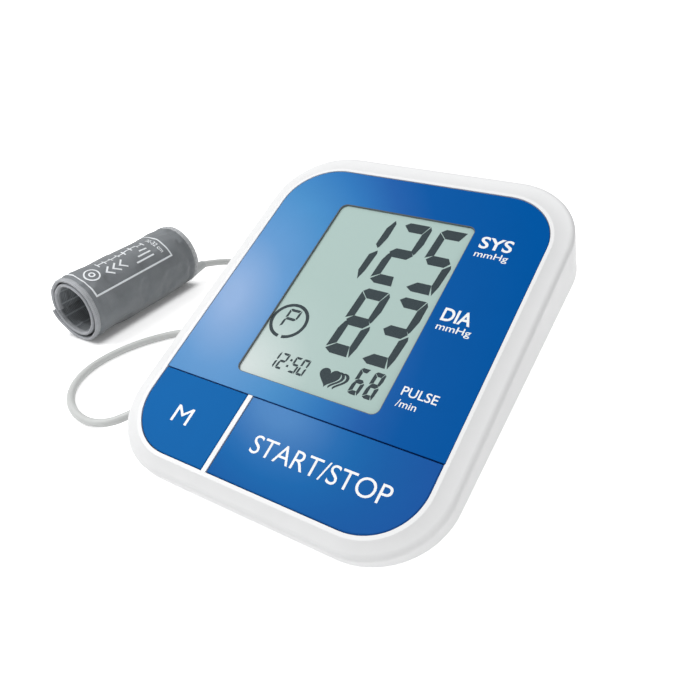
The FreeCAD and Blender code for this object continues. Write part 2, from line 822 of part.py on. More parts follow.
def make_display():
    """The display glass and the holder that stands on the circuit board."""
    glass_half = "(window_width / 2 + glass_border)"
    front = "window_up - window_length / 2 - glass_border"
    back = "window_up + window_length / 2 + glass_border"
    floor = "-display_ceiling - fit_gap - glass_thick"
    glass = box("DisplayGlass", "-" + glass_half, glass_half, front, back, floor,
                floor + " + glass_thick", frame=FACE)
    node(glass, "display_glass")
    outer = box("HolderBlock", "-(%s)" % HOLDER_HALF, HOLDER_HALF, HOLDER_FRONT, HOLDER_BACK,
                "-board_top", "-display_ceiling", frame=FACE)
    seat = box("GlassSeat", "-%s - fit_gap" % glass_half, glass_half + " + fit_gap",
               front + " - fit_gap", back + " + fit_gap", floor, "0", frame=FACE)
    hollow = box("HolderHollow", "-" + glass_half, glass_half, front, back,
                 "-board_top - holder_wall", floor + " - holder_floor", frame=FACE)
    node(cut("DisplayHolder", outer, fuse("HolderRooms", [seat, hollow])), "display_holder")


def make_key(name, label, draw, middle, span):
    """A key cap with its rounded rim, pressing stem and two guide posts."""
    body = new_body(name, FACE)
    cap = new_sketch(body, name + "Cap", "-key_thick")
    draw(cap, "key_gap")
    pad = extrude(body, "Pad", cap, "key_thick + key_rise")
    top = size("key_rise")
    names = edges_where(pad, lambda p: abs(p.z - top) < 1e-4)
    round_edges(body, pad, names, "key_round")
    stem = new_sketch(body, name + "Stem", PLUNGER_TOP + " + press_gap")
    draw_circle(stem, middle, KEY_MIDDLE, "stem_radius")
    extrude(body, "Pad", stem, "-key_thick / 2 - (%s + press_gap)" % PLUNGER_TOP)
    posts = new_sketch(body, name + "Posts", "-post_reach")
    for x, y in key_posts(middle, span):
        draw_circle(posts, x, y, "post_radius")
    extrude(body, "Pad", posts, "post_reach - key_thick / 2")
    node(body, label)


PLUNGER_TOP = "-board_top + switch_tall + plunger_proud"


# ---------------------------------------------------------------- circuit board


def make_board():
    body = new_body("CircuitBoard", FACE)
    plan = new_sketch(body, "BoardPlan", BOARD_UNDER)
    draw_outline(plan, "-" + BOARD_HALF, BOARD_HALF, BOARD_FRONT, BOARD_BACK, [None] * 4)
    for x, y in board_posts():
        draw_circle(plan, x, y, "boss_bore + fit_gap")
    extrude(body, "Pad", plan, "board_thick")
    node(body, "circuit_board")


def make_board_screws():
    screws = []
    for index, (x, y) in enumerate(board_posts()):
        under = at_face(x, y, BOARD_UNDER + " - screw_head_tall")
        head = rod("BoardHead%d" % index, "screw_head", "screw_head_tall", under, frame=FACE)
        shank = rod("BoardShank%d" % index, "screw_radius",
                    "screw_head_tall + board_thick + boss_radius", under, frame=FACE)
        screws.append(fuse("BoardScrew%d" % index, [head, shank]))
    node(group("BoardScrews", screws), "board_screws")


def make_switches():
    """Two tact switches: their cases as one node, each moving plunger as its own."""
    cases = []
    bore_floor = "-board_top + switch_floor"
    for name, label, middle in (("Start", "start_plunger", START_MIDDLE),
                                ("Memory", "memory_plunger", MEMORY_MIDDLE)):
        case = box(name + "SwitchCase", middle + " - switch_side / 2",
                   middle + " + switch_side / 2", KEY_MIDDLE + " - switch_side / 2",
                   KEY_MIDDLE + " + switch_side / 2", "-board_top", "-board_top + switch_tall",
                   frame=FACE)
        bore = rod(name + "SwitchBore", "plunger_radius + plunger_clear", "switch_tall",
                   at_face(middle, KEY_MIDDLE, bore_floor), frame=FACE)
        cases.append(cut(name + "Switch", case, bore))
        start = at_face(middle, KEY_MIDDLE, "-board_top + switch_tall - plunger_deep")
        plunger = rod(name + "Plunger", "plunger_radius", "plunger_deep + plunger_proud", start,
                      frame=FACE)
        node(plunger, label)
    node(group("SwitchCases", cases), "switch_cases")


def chip(name, part):
    """A flat chip under the board, by the four named values of its part."""
    return box(name, "%s_x - %s_wide / 2" % (part, part), "%s_x + %s_wide / 2" % (part, part),
               "%s_y - %s_long / 2" % (part, part), "%s_y + %s_long / 2" % (part, part),
               BOARD_UNDER + " - chip_tall", BOARD_UNDER, frame=FACE)


def make_board_parts():
    """What is soldered under the board: processor, pump driver, two cans and the buzzer."""
    chips = [chip("Processor", "processor"), chip("PumpDriver", "driver")]
    cans = [rod("Can%d" % i, "can_radius", "can_tall",
                at_face("can_x + can_pitch * %d" % i, "can_y", BOARD_UNDER + " - can_tall"),
                frame=FACE) for i in range(2)]
    node(group("BoardChips", chips + cans), "board_chips")
    buzzer = rod("Buzzer", "buzzer_radius", "buzzer_tall",
                 at_face("buzzer_x", "buzzer_y", BOARD_UNDER + " - buzzer_tall"), frame=FACE)
    node(buzzer, "buzzer")


# ---------------------------------------------------------------- power


def cell_places():
    """Each cell's x and whether its nub points to the back."""
    first = -size("cell_pitch") * (size("cell_count") - 1) / 2
    return [(first + size("cell_pitch") * i, i % 2 == 0) for i in range(int(size("cell_count")))]


def make_cells():
    cells = []
    springs = []
    front = number(BAY_FRONT + " + contact_thick")
    back = number(BAY_BACK + " - contact_thick")
    for index, (x, nub_back) in enumerate(cell_places()):
        way = Vector(0, 1, 0) if nub_back else Vector(0, -1, 0)
        start = Vector(x, front if nub_back else back, size("cell_height"))
        can = rod("Cell%d" % index, "cell_radius", "cell_long",
                  start + way * size("spring_long"), way)
        nub = rod("Nub%d" % index, "cell_nub_radius", "cell_long + cell_nub",
                  start + way * size("spring_long"), way)
        cells.append(fuse("Battery%d" % index, [can, nub]))
        spring = doc.addObject("Part::Cone", "Spring%d" % index)
        bind(spring, "Radius1", "spring_base")
        bind(spring, "Radius2", "spring_tip")
        bind(spring, "Height", "spring_long")
        spring.Placement = Placement(start, Rotation(Vector(0, 0, 1), way))
        springs.append(spring)
    node(group("Batteries", cells), "batteries")
    node(group("ContactSprings", springs), "contact_springs")


def make_contacts():
    plates = []
    low = "cell_height - contact_side / 2"
    high = "cell_height + contact_side / 2"
    for index in range(int(size("cell_count"))):
        middle = "cell_pitch * (%d - (cell_count - 1) / 2)" % index
        left = middle + " - contact_side / 2"
        right = middle + " + contact_side / 2"
        plates.append(box("FrontContact%d" % index, left, right, BAY_FRONT,
                          BAY_FRONT + " + contact_thick", low, high))
        plates.append(box("BackContact%d" % index, left, right, BAY_BACK + " - contact_thick",
                          BAY_BACK, low, high))
    node(group("ContactPlates", plates), "contact_plates")


# ---------------------------------------------------------------- pump, valve and air paths

HEAD_RIGHT = "-head_left + head_long"


def make_pump():
    """Motor can with flats, its spinning crank, and the pump head with its crank room."""
    axis_y, axis_z = size("pump_y"), size("pump_z")
    right = number(HEAD_RIGHT)
    along = Vector(1, 0, 0)
    can = rod("MotorCan", "motor_radius", "motor_long", Vector(right, axis_y, axis_z), along)
    flats = box("MotorFlats", HEAD_RIGHT, HEAD_RIGHT + " + motor_long + motor_boss_long",
                "pump_y - motor_radius", "pump_y + motor_radius", "pump_z - motor_flat",
                "pump_z + motor_flat")
    end = Vector(right + size("motor_long"), axis_y, axis_z)
    boss = rod("MotorBoss", "motor_boss", "motor_boss_long", end, along)
    bore = rod("MotorBore", "shaft_radius + shaft_clear", "shaft_back",
               Vector(right, axis_y, axis_z), along)
    motor = cut("PumpMotor", fuse("MotorSolids", [common("MotorBody", [can, flats]), boss]), bore)
    node(motor, "pump_motor")

    tip = number("crank_deep - crank_thick / 2")
    start = Vector(right - tip, axis_y, axis_z)
    shaft = rod("Shaft", "shaft_radius", "crank_deep - crank_thick / 2 + shaft_back - fit_gap",
                start, along)
    disc = rod("CrankDisc", "crank_radius", "crank_thick",
               start + Vector(0, 0, size("crank_offset")), along)
    node(fuse("MotorShaft", [shaft, disc]), "motor_shaft")

    block = box("HeadBlock", "-head_left", HEAD_RIGHT, "pump_y - head_side / 2",
                "pump_y + head_side / 2", "pump_z - head_side / 2", "pump_z + head_side / 2")
    crank_room = rod("CrankRoom", "crank_room", "crank_deep", Vector(right, axis_y, axis_z),
                     Vector(-1, 0, 0))
    front = Vector(-size("air_x"), axis_y - size("head_side") / 2, size("air_z"))
    nozzle = rod("PumpNozzle", "nozzle_radius", "nozzle_long", front, Vector(0, -1, 0))
    head = fuse("PumpHead", [cut("HeadShell", block, crank_room), nozzle])
    node(head, "pump_head")

    wide = "(head_side / 2 + fit_gap + cradle_wall)"
    block = box("CradleBlock", "-head_left", HEAD_RIGHT + " + motor_long", "pump_y - " + wide,
                "pump_y + " + wide, "bay_top + bay_roof", "bay_top + bay_roof + cradle_rise")
    seat = "(head_side / 2 + fit_gap)"
    head_room = box("CradleHeadRoom", "-head_left - cradle_wall", HEAD_RIGHT, "pump_y - " + seat,
                    "pump_y + " + seat, "pump_z - head_side / 2", "pump_z")
    tunnel = rod("CradleTunnel", "motor_radius + fit_gap", "motor_long + cradle_wall",
                 Vector(right, axis_y, axis_z), along)
    flats = box("CradleFlats", HEAD_RIGHT, HEAD_RIGHT + " + motor_long + cradle_wall",
                "pump_y - " + wide, "pump_y + " + wide, "pump_z - motor_flat", "pump_z")
    motor_room = common("CradleMotorRoom", [tunnel, flats])
    slot_half = "(inner_tube / 2 + tube_slack)"
    slot = box("CradleSlot", "-air_x - " + slot_half, "-air_x + " + slot_half,
               "pump_y - " + wide, "pump_y", "air_z - " + slot_half, "pump_z")
    cradle = cut("PumpCradle", block, fuse("CradleRooms", [head_room, motor_room, slot]))
    node(cradle, "pump_cradle")


def make_valve():
    """The solenoid release valve on the bay roof and its sliding pin."""
    centre = Vector(size("valve_x"), size("air_y"), size("air_z"))
    block = box("ValveBlock", "valve_x - valve_long / 2", "valve_x + valve_long / 2",
                "air_y - valve_side / 2", "air_y + valve_side / 2",
                "bay_top + bay_roof", "air_z + valve_side / 2")
    face = centre + Vector(size("valve_long") / 2, 0, 0)
    bore = rod("ValveBore", "valve_bore", "valve_pin + valve_travel + fit_gap", face,
               Vector(-1, 0, 0))
    mouth = centre - Vector(size("valve_long") / 2, 0, 0)
    nozzle = rod("ValveNozzle", "nozzle_radius", "nozzle_long", mouth, Vector(-1, 0, 0))
    node(fuse("ValveBody", [cut("ValveShell", block, bore), nozzle]), "valve_body")
    pin = rod("ValvePin", "valve_bore - valve_clear", "valve_pin",
              face - Vector(size("valve_pin") - size("valve_proud"), 0, 0), Vector(1, 0, 0))
    node(pin, "valve_pin")


def sensor_axis():
    """Height of the sensor's nipple in the face frame."""
    return number(BOARD_UNDER + " - sensor_tall / 2")


def tee_corner():
    """Where the tee's upward line meets the sensor's sloping line."""
    x, y = -size("air_x"), size("air_y")
    tilt = math.radians(size("face_tilt"))
    z = size("face_height") + (sensor_axis() + y * math.sin(tilt)) / math.cos(tilt)
    return Vector(x, y, z)


def make_air_paths():
    """The four-way tee, the pressure sensor and the inner tubes that join everything."""
    x, y, z = -size("air_x"), size("air_y"), size("air_z")
    half = size("tee_side") / 2
    centre = Vector(x, y, z)
    block = box("TeeBlock", "-air_x - tee_side / 2", "-air_x + tee_side / 2",
                "air_y - tee_side / 2", "air_y + tee_side / 2", "air_z - tee_side / 2",
                "air_z + tee_side / 2")
    ways = {"Back": Vector(0, 1, 0), "Front": Vector(0, -1, 0), "Right": Vector(1, 0, 0),
            "Up": Vector(0, 0, 1)}
    spouts = [rod("Tee" + name, "nozzle_radius", "tee_side / 2 + nozzle_long", centre, way)
              for name, way in ways.items()]
    node(fuse("AirTee", [block] + spouts), "air_tee")

    corner = tee_corner()
    slope = on_face(0, 1, 0) - on_face(0, 0, 0)
    tip = corner + slope * size("sensor_run")
    local = FACE.inverse().multVec(tip)
    side = size("sensor_side")
    low = Vector(local.x - side / 2, local.y, number(BOARD_UNDER + " - sensor_tall"))
    case = doc.addObject("Part::Box", "SensorCase")
    bind(case, "Length", "sensor_side")
    bind(case, "Width", "sensor_side")
    bind(case, "Height", "sensor_tall")
    case.Placement = FACE.multiply(Placement(low, Rotation()))
    nipple = rod("SensorNipple", "nozzle_radius", "nozzle_long", local, Vector(0, -1, 0),
                 frame=FACE)
    node(fuse("PressureSensor", [case, nipple]), "pressure_sensor")

    inlet = Vector(-size("socket_face") + size("socket_long"), size("socket_y"),
                   size("socket_z"))
    below = Vector(x, inlet.y, inlet.z)
    behind = Vector(x, inlet.y + size("tube_run"), z)
    socket_line = [inlet, below, behind, centre - Vector(0, half, 0)]
    pump_line = [centre + Vector(0, half, 0), Vector(x, size("pump_y") - size("head_side") / 2, z)]
    valve_line = [centre + Vector(half, 0, 0),
                  Vector(size("valve_x") - size("valve_long") / 2, y, z)]
    sensor_line = [centre + Vector(0, 0, half), corner, tip]
    tubes = []
    for name, line in (("socket tube", socket_line), ("pump tube", pump_line),
                       ("valve tube", valve_line), ("sensor tube", sensor_line)):
        outer = tube(name, line, size("inner_tube") / 2)
        bore = tube(name + " bore", line, size("inner_bore"))
        tubes.append(outer.cut(bore))
    node(solid("InnerTubes", Part.makeCompound(tubes)), "inner_tubes")


def make_socket():
    """The air socket in the left flank and the hose plug that sits in it."""
    mouth = Vector(-size("socket_face"), size("socket_y"), size("socket_z"))
    inward = Vector(1, 0, 0)
    barrel = rod("SocketBarrel", "socket_radius", "socket_long", mouth, inward)
    lead = Vector(size("socket_flange_thick"), 0, 0)
    flange = rod("SocketFlange", "socket_flange", "socket_flange_thick", mouth - lead, inward)
    barb = rod("SocketBarb", "nozzle_radius", "socket_long + nozzle_long", mouth, inward)
    hole = rod("SocketHole", "socket_bore", "socket_bore_deep", mouth - lead, inward)
    body = fuse("SocketSolids", [barrel, flange, barb])
    node(cut("AirSocket", body, hole), "air_socket")

    outward = Vector(-1, 0, 0)
    front = mouth - lead
    pin = rod("PlugPin", "socket_bore - plug_clear", "plug_deep + plug_gap",
              front + Vector(size("plug_deep"), 0, 0), outward)
    grip_at = front - Vector(size("plug_gap"), 0, 0)
    grip = rod("PlugGrip", "plug_grip", "plug_grip_long", grip_at, outward)
    neck = doc.addObject("Part::Cone", "PlugNeck")
    bind(neck, "Radius1", "plug_shoulder")
    bind(neck, "Radius2", "plug_neck")
    bind(neck, "Height", "plug_neck_long")
    neck_at = grip_at - Vector(size("plug_grip_long"), 0, 0)
    neck.Placement = Placement(neck_at, Rotation(Vector(0, 0, 1), outward))
    node(fuse("HosePlug", [pin, grip, neck]), "hose_plug")


# ---------------------------------------------------------------- hose


def plug_end():
    reach = sum(size(name) for name in ("socket_face", "socket_flange_thick", "plug_gap",
                                        "plug_grip_long", "plug_neck_long"))
    return Vector(-reach, size("socket_y"), size("socket_z"))


def make_hose():
    """The hose: from the plug round to the coil, the coil, and on to the cuff."""
    lie = size("hose_radius") + size("floor_gap")
    out = [plug_end()] + [Vector(*p) for p in (
        (-74.0, -38.8, 8.1),
        (-80.8, -45.1, 4.7),
        (-90.0, -47.4, 2.6),
        (-100.0, -46.2, lie),
        (-109.5, -41.6, lie),
        (-117.0, -34.0, lie),
        (-121.4, -24.4, lie),
        (-122.4, -13.6, lie),
        (-120.4, -2.4, lie),
        (-115.2, 10.2, lie),
        (-106.0, 22.5, lie),
        (-92.5, 28.5, lie),
        (-78.0, 30.5, lie),
        (-65.0, 35.0, lie),
        (-57.5, 43.0, lie),
        (-54.9, 53.3, lie),
    )]
    node(solid("HoseOut", tube("hose from plug", out, size("hose_radius"))), "hose_device_run")

    ring = new_body("HoseCoil", Placement(Vector(size("coil_x"), size("coil_y"), 0), Rotation()))
    section = new_sketch(ring, "CoilSection", role="XZ_Plane")
    draw_outline(section, "coil_radius - hose_radius", "coil_radius + hose_radius", "floor_gap",
                 "floor_gap + hose_radius * 2 * (coil_turns + 1)", [None] * 4)
    revolve(ring, section)
    node(ring, "hose_coil")

    high = lie + 2 * size("hose_radius") * size("coil_turns")
    back = [Vector(*p) for p in (
        (-67.0, 82.5, high),
        (-80.4, 89.3, high - 0.7),
        (-92.2, 94.6, high - 3.0),
        (-103.8, 97.9, lie + 2.0),
        (-115.3, 98.7, lie + 0.4),
        (-125.4, 95.8, lie),
        (-133.0, 89.6, lie + 1.2),
        (-137.2, 81.2, lie + 3.7),
    )] + [boot_end()]
    node(solid("HoseBack", tube("hose to cuff", back, size("hose_radius"))), "hose_cuff_run")


# ---------------------------------------------------------------- rolled cuff


def boot_seat():
    """Where the hose boot stands on the cuff's far end."""
    turn = math.radians(size("boot_angle"))
    reach = size("cuff_radius") - size("boot_radius")
    return Vector(size("cuff_x") + reach * math.cos(turn), size("cuff_front") + size("cuff_long"),
                  roll_height() + reach * math.sin(turn))


def boot_end():
    return boot_seat() + Vector(0, size("boot_long"), 0)


def half_turn(index, skin):
    """Radius and centre height of one half turn of the roll, skin deep into the cloth."""
    radius = size("cuff_radius") - index * size("cuff_pitch") / 2
    centre = size("cuff_pitch") / 2 * (index % 2)
    return radius - skin, centre


def roll_height():
    """Height of the roll's axis above the table: it rests on its outermost half turn."""
    return size("cuff_radius") + size("floor_gap")


def roll_face(skin_out, skin_in):
    """The roll's section in the XZ plane, unturned: half turns of shrinking radius."""
    turns = int(size("cuff_half_turns"))
    sides = []
    for skin in (skin_out, size("cuff_thick") - skin_in):
        arcs = []
        for index in range(turns):
            radius, centre = half_turn(index, skin)
            way = 1 if index % 2 == 0 else -1
            arcs.append(Part.Arc(Vector(0, 0, centre - way * radius),
                                 Vector(way * radius, 0, centre),
                                 Vector(0, 0, centre + way * radius)).toShape())
        sides.append(arcs)
    outer, inner = sides
    caps = []
    for a, b in ((outer[0], inner[0]), (outer[-1], inner[-1])):
        at = 0 if a is outer[0] else -1
        caps.append(Part.LineSegment(a.Vertexes[at].Point, b.Vertexes[at].Point).toShape())
    edges = outer + [caps[1]] + inner[::-1] + [caps[0]]
    return Part.Face(Part.Wire(Part.__sortEdges__(edges)))


def roll(y0, y1, skin=0.0):
    """A stretch of the roll between two distances from its near end."""
    shape = roll_face(skin, skin).extrude(Vector(0, y1 - y0, 0))
    shape.rotate(Vector(0, 0, 0), Vector(0, 1, 0), -size("cuff_flap_turn"))
    shape.translate(Vector(size("cuff_x"), size("cuff_front") + y0, roll_height()))
    return shape


def bladder(y0, y1, gap):
    """The bladder's curved slab in the outer layer, gap smaller all round."""
    outer = size("cuff_radius") - size("bladder_skin") - gap
    inner = size("cuff_radius") - size("cuff_thick") + size("bladder_skin") + gap
    half = size("bladder_half_angle")
    sector = [Part.makeCylinder(r, y1 - y0, Vector(0, 0, 0), Vector(0, 1, 0), 2 * half)
              for r in (outer, inner)]
    shape = sector[0].cut(sector[1]).Solids[0]
    middle = shape.CenterOfMass
    turn = math.degrees(math.atan2(middle.z, middle.x))
    shape.rotate(Vector(0, 0, 0), Vector(0, 1, 0), turn - size("cuff_flap_turn"))
    shape.translate(Vector(size("cuff_x"), size("cuff_front") + y0, roll_height()))
    return shape


def make_cuff():
    """The rolled cuff: cloth, the bladder in its pocket, edge bindings and hose boot."""
    long, binding = size("cuff_long"), size("cuff_binding")
    pocket = bladder(size("bladder_front"), long - binding, 0.0)
    cloth = roll(binding, long - binding).cut(pocket)
    node(solid("CuffCloth", cloth), "cuff_cloth")
    gap = size("bladder_gap")
    bag = bladder(size("bladder_front") + gap, long - binding - gap, gap)
    node(solid("CuffBladder", bag), "cuff_bladder")
    ends = [roll(0.0, binding), roll(long - binding, long)]
    node(solid("CuffBindings", Part.makeCompound(ends)), "cuff_bindings")
    boot = doc.addObject("Part::Cone", "HoseBoot")
    bind(boot, "Radius1", "boot_radius")
    bind(boot, "Radius2", "boot_tip")
    bind(boot, "Height", "boot_long")
    boot.Placement = Placement(boot_seat(), Rotation(Vector(0, 0, 1), Vector(0, 1, 0)))
    node(boot, "hose_boot")


# ---------------------------------------------------------------- build, check and export

make_top_shell()
make_bottom_shell()
make_feet()
make_battery_door()
make_case_screws()
make_face_panel()
make_lens()
make_display()
make_key("StartKey", "start_stop_key", draw_start_key, START_MIDDLE, "start_post_span")
make_key("MemoryKey", "memory_key", draw_memory_key, MEMORY_MIDDLE, "memory_post_span")
make_board()
make_board_screws()
make_switches()
make_board_parts()
make_cells()
make_contacts()
make_pump()
make_valve()
make_air_paths()
make_socket()
make_hose()
make_cuff()
doc.recompute()

for item in doc.Objects:
    if "Invalid" in item.State or "Error" in item.State:
        raise RuntimeError("%s failed: %s" % (item.Name, item.State))
os.makedirs("parts", exist_ok=True)
for item in NODES:
    shape = item.Shape
    if shape.isNull() or not shape.isValid() or not shape.Solids:
        raise RuntimeError("%s has no valid solid" % item.Label)
    shape.exportStep("parts/%s.step" % item.Label)
    print("%-18s %2d solid(s) %10.1f mm3" % (item.Label, len(shape.Solids), shape.Volume))
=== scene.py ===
import math

import bpy
from mathutils import Matrix, Vector, noise
from mathutils.bvhtree import BVHTree


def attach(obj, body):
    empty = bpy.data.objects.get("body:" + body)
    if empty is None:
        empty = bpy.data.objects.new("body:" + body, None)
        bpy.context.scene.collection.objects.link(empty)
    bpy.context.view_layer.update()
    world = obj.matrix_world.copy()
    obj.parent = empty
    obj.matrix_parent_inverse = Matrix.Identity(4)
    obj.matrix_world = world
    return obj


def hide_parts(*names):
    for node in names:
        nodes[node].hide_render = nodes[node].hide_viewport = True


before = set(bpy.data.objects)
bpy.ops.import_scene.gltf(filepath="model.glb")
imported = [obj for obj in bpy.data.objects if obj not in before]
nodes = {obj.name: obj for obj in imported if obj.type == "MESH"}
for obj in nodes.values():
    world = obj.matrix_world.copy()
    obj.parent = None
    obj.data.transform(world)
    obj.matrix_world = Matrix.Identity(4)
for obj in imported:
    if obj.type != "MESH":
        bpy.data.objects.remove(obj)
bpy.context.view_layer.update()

# Lengths are in millimetres where they are named or passed round, and times MM where they are
# used. The face frame stands on the panel's centre, with X to the user's right and Z out of it.
MM = 0.001
FACE_HEIGHT, FACE_TILT = 48.0, math.radians(25)
FACE = Matrix.Translation((0, 0, FACE_HEIGHT * MM)) @ Matrix.Rotation(FACE_TILT, 4, "X")


# ---------------------------------------------------------------- helpers


def on_face(x, y, z=0.0):
    """A point of the face frame, given in millimetres, in space."""
    return FACE @ (Vector((x, y, z)) * MM)


def mesh_object(name, verts, faces, body="monitor", smooth=True):
    """A new mesh piece that rides with a body, if one is named."""
    mesh = bpy.data.meshes.new(name)
    mesh.from_pydata([tuple(v) for v in verts], [], faces)
    mesh.update()
    obj = bpy.data.objects.new(name, mesh)
    bpy.context.scene.collection.objects.link(obj)
    for polygon in mesh.polygons:
        polygon.use_smooth = smooth
    if body:
        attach(obj, body)
    return obj


class Net:
    """Short ways to build a node tree. A value may be another node's output."""

    def __init__(self, tree):
        self.tree = tree

    def put(self, value, socket):
        if isinstance(value, bpy.types.NodeSocket):
            self.tree.links.new(value, socket)
        else:
            socket.default_value = value

    def fill(self, item, **values):
        """Sets inputs of a node by name, with _ for a space, and its properties."""
        for key, value in values.items():
            name = key.replace("_", " ")
            if name in item.inputs:
                self.put(value, item.inputs[name])
            else:
                setattr(item, key, value)
        return item

    def add(self, kind, **values):
        return self.fill(self.tree.nodes.new("ShaderNode" + kind), **values)

    def place(self, kind="Object"):
        return self.add("TexCoord").outputs[kind]

    def steps(self, value, *moves):
        """Takes a value through maths, each move an operation and its second operand."""
        for operation, amount in moves:
            item = self.add("Math", operation=operation)
            self.put(value, item.inputs[0])
            self.put(amount, item.inputs[1])
            value = item.outputs["Value"]
        return value

    def spread(self, value, low, high, start=0.0, end=1.0, **kind):
        """Maps start to end of a value onto low to high."""
        return self.add("MapRange", **kind, Value=value, From_Min=start, From_Max=end,
                        To_Min=low, To_Max=high).outputs["Result"]

    def tint(self, value, stops):
        """A colour ramp over a value; each stop is a position and a colour or grey."""
        item = self.add("ValToRGB", Fac=value)
        elements = item.color_ramp.elements
        while len(elements) > 1:
            elements.remove(elements[-1])
        for index, (at, colour) in enumerate(stops):
            stop = elements.new(at) if index else elements[0]
            stop.position = at
            stop.color = (*(colour if isinstance(colour, tuple) else (colour,) * 3), 1)
        return item.outputs["Color"]

    def mottle(self, value, colour, vary):
        """A colour made darker and lighter by a share, over a noise."""
        return self.tint(value, [(NOISE_LOW, shaded(colour, 1 - vary)),
                                 (NOISE_HIGH, shaded(colour, 1 + vary))])

    def mix(self, a, b, factor=1.0, blend="MIX"):
        return self.add("Mix", data_type="RGBA", blend_type=blend, Factor=factor, A=a,
                        B=b).outputs["Result"]

    def noise(self, place, scale, detail, roughness=0.5):
        return self.add("TexNoise", Vector=place, Scale=scale, Detail=detail,
                        Roughness=roughness).outputs["Fac"]

    def relief(self, height, strength, distance):
        """A normal bumped by a height; distance in mm."""
        return self.add("Bump", Strength=strength, Distance=distance * MM,
                        Height=height).outputs["Normal"]

    def bloom(self, centre, reach, turn=None):
        """1 at a point in space, falling to 0 on an oval that reaches so many mm round it."""
        move = self.add("Mapping", vector_type="TEXTURE", Vector=self.place(), Location=centre,
                        Scale=[way * MM for way in reach])
        if turn:
            self.fill(move, Rotation=turn.to_euler("XYZ"))
        return self.add("TexGradient", gradient_type="SPHERICAL",
                        Vector=move.outputs["Vector"]).outputs["Fac"]

    def outside(self, place, middle, half):
        """How far a point lies outside a rectangle of the XY plane."""
        split = self.add("SeparateXYZ", Vector=place)
        x, y = [self.steps(split.outputs[axis], ("SUBTRACT", at * MM), ("ABSOLUTE", 0),
                           ("SUBTRACT", reach * MM), ("MAXIMUM", 0), ("POWER", 2))
                for axis, at, reach in zip("XY", middle, half)]
        return self.steps(x, ("ADD", y), ("SQRT", 0))


def shader(name):
    """A new material with its Principled shader and its net."""
    made = bpy.data.materials.new(name)
    made.use_nodes = True
    return made, made.node_tree.nodes["Principled BSDF"], Net(made.node_tree)


# Most of a noise texture's values lie between these.
NOISE_LOW, NOISE_HIGH = 0.3, 0.7
GLOSS_VARY, LEAST_ROUGH = 0.05, 0.02


def shaded(colour, factor):
    """A colour made lighter or darker."""
    return tuple(min(1.0, c * factor) for c in colour)


def moulded(name, colour, rough, vary=0.03, grain=2600, bump=0.05, metal=0.0, coat=0.0,
            wear=0.0, coarse=180):
    """Moulded or pressed material: fine grain, faint mottling, uneven gloss, rubbed edges."""
    made, bsdf, net = shader(name)
    place = net.place()
    fine = net.noise(place, grain, 3.0, 0.6)
    broad = net.noise(place, coarse, 2.0)
    base = net.mottle(broad, colour, vary)
    if wear:
        edge = net.add("NewGeometry").outputs["Pointiness"]
        rubbed = (*[min(1, c * 1.25 + 0.03) for c in colour], 1)
        base = net.mix(base, rubbed, net.tint(edge, [(0.5, 0.0), (0.62, wear)]))
    net.fill(bsdf, Base_Color=base, Metallic=metal, IOR=1.5,
             Roughness=net.spread(broad, max(LEAST_ROUGH, rough - GLOSS_VARY),
                                  min(1.0, rough + GLOSS_VARY), NOISE_LOW, NOISE_HIGH),
             Normal=net.relief(fine, bump, 0.2))
    if coat:
        net.fill(bsdf, Coat_Weight=coat, Coat_Roughness=0.08)
    return made


# The lip round the face is a rectangle, LIP_CORE from the middle to its sides, grown by
# LIP_CORNER. The land outside it is LAND_WIDE across.
LIP_CORE, LIP_CORNER, LAND_WIDE = (34.2, 46.4), 21.4, 6.2
HOLLOW_BEND, HOLLOW_FALL = 0.87, 1.16


def dish_land(made):
    """Hollows the white land round the face: steeper at the lip, flatter at the ridge.

    The relief is a parabola over the land's width, 0.4 mm deep at most.
    """
    net = Net(made.node_tree)
    fine = next(n for n in made.node_tree.nodes if n.type == "BUMP")
    place = net.add("Mapping", vector_type="TEXTURE", Vector=net.place(),
                    Location=FACE.translation, Rotation=FACE.to_euler("XYZ"))
    share = net.steps(net.outside(place.outputs["Vector"], (0, 0), LIP_CORE),
                      ("SUBTRACT", LIP_CORNER * MM), ("DIVIDE", LAND_WIDE * MM),
                      ("MAXIMUM", 0), ("MINIMUM", 1))
    height = net.steps(share, ("MULTIPLY", HOLLOW_BEND), ("SUBTRACT", HOLLOW_FALL),
                       ("MULTIPLY", share))
    net.fill(fine, Normal=net.relief(height, 1.0, 1.0))
    return made


def dress(obj, made):
    """Gives a piece made here its one finish."""
    obj.data.materials.clear()
    obj.data.materials.append(made)


def wear_cad(name, made):
    """Gives a carried-over CAD node its finish."""
    obj = nodes[name]
    if not obj.data.materials:
        obj.data.materials.append(made)
    for index in range(len(obj.data.materials)):
        obj.data.materials[index] = made


# ---------------------------------------------------------------- camera

# Fitted to the four straight sides of the blue face in the photograph.
CAMERA_AT = (0.1182, -0.1732, 0.1700)
CAMERA_RIGHT = Vector((0.84656, 0.52969, -0.05247))
CAMERA_UP = Vector((-0.24908, 0.48134, 0.84041))
CAMERA_BACK = Vector((0.47041, -0.69839, 0.53942))

camera = bpy.data.objects.new("camera", bpy.data.cameras.new("camera"))
bpy.context.scene.collection.objects.link(camera)
camera.data.lens = 36.55
camera.data.sensor_width = 36
camera.data.clip_start = 0.01
facing = Matrix((CAMERA_RIGHT, CAMERA_UP, CAMERA_BACK)).transposed().to_4x4()
camera.matrix_world = Matrix.Translation(CAMERA_AT) @ facing
bpy.context.scene.camera = camera


# ---------------------------------------------------------------- hose

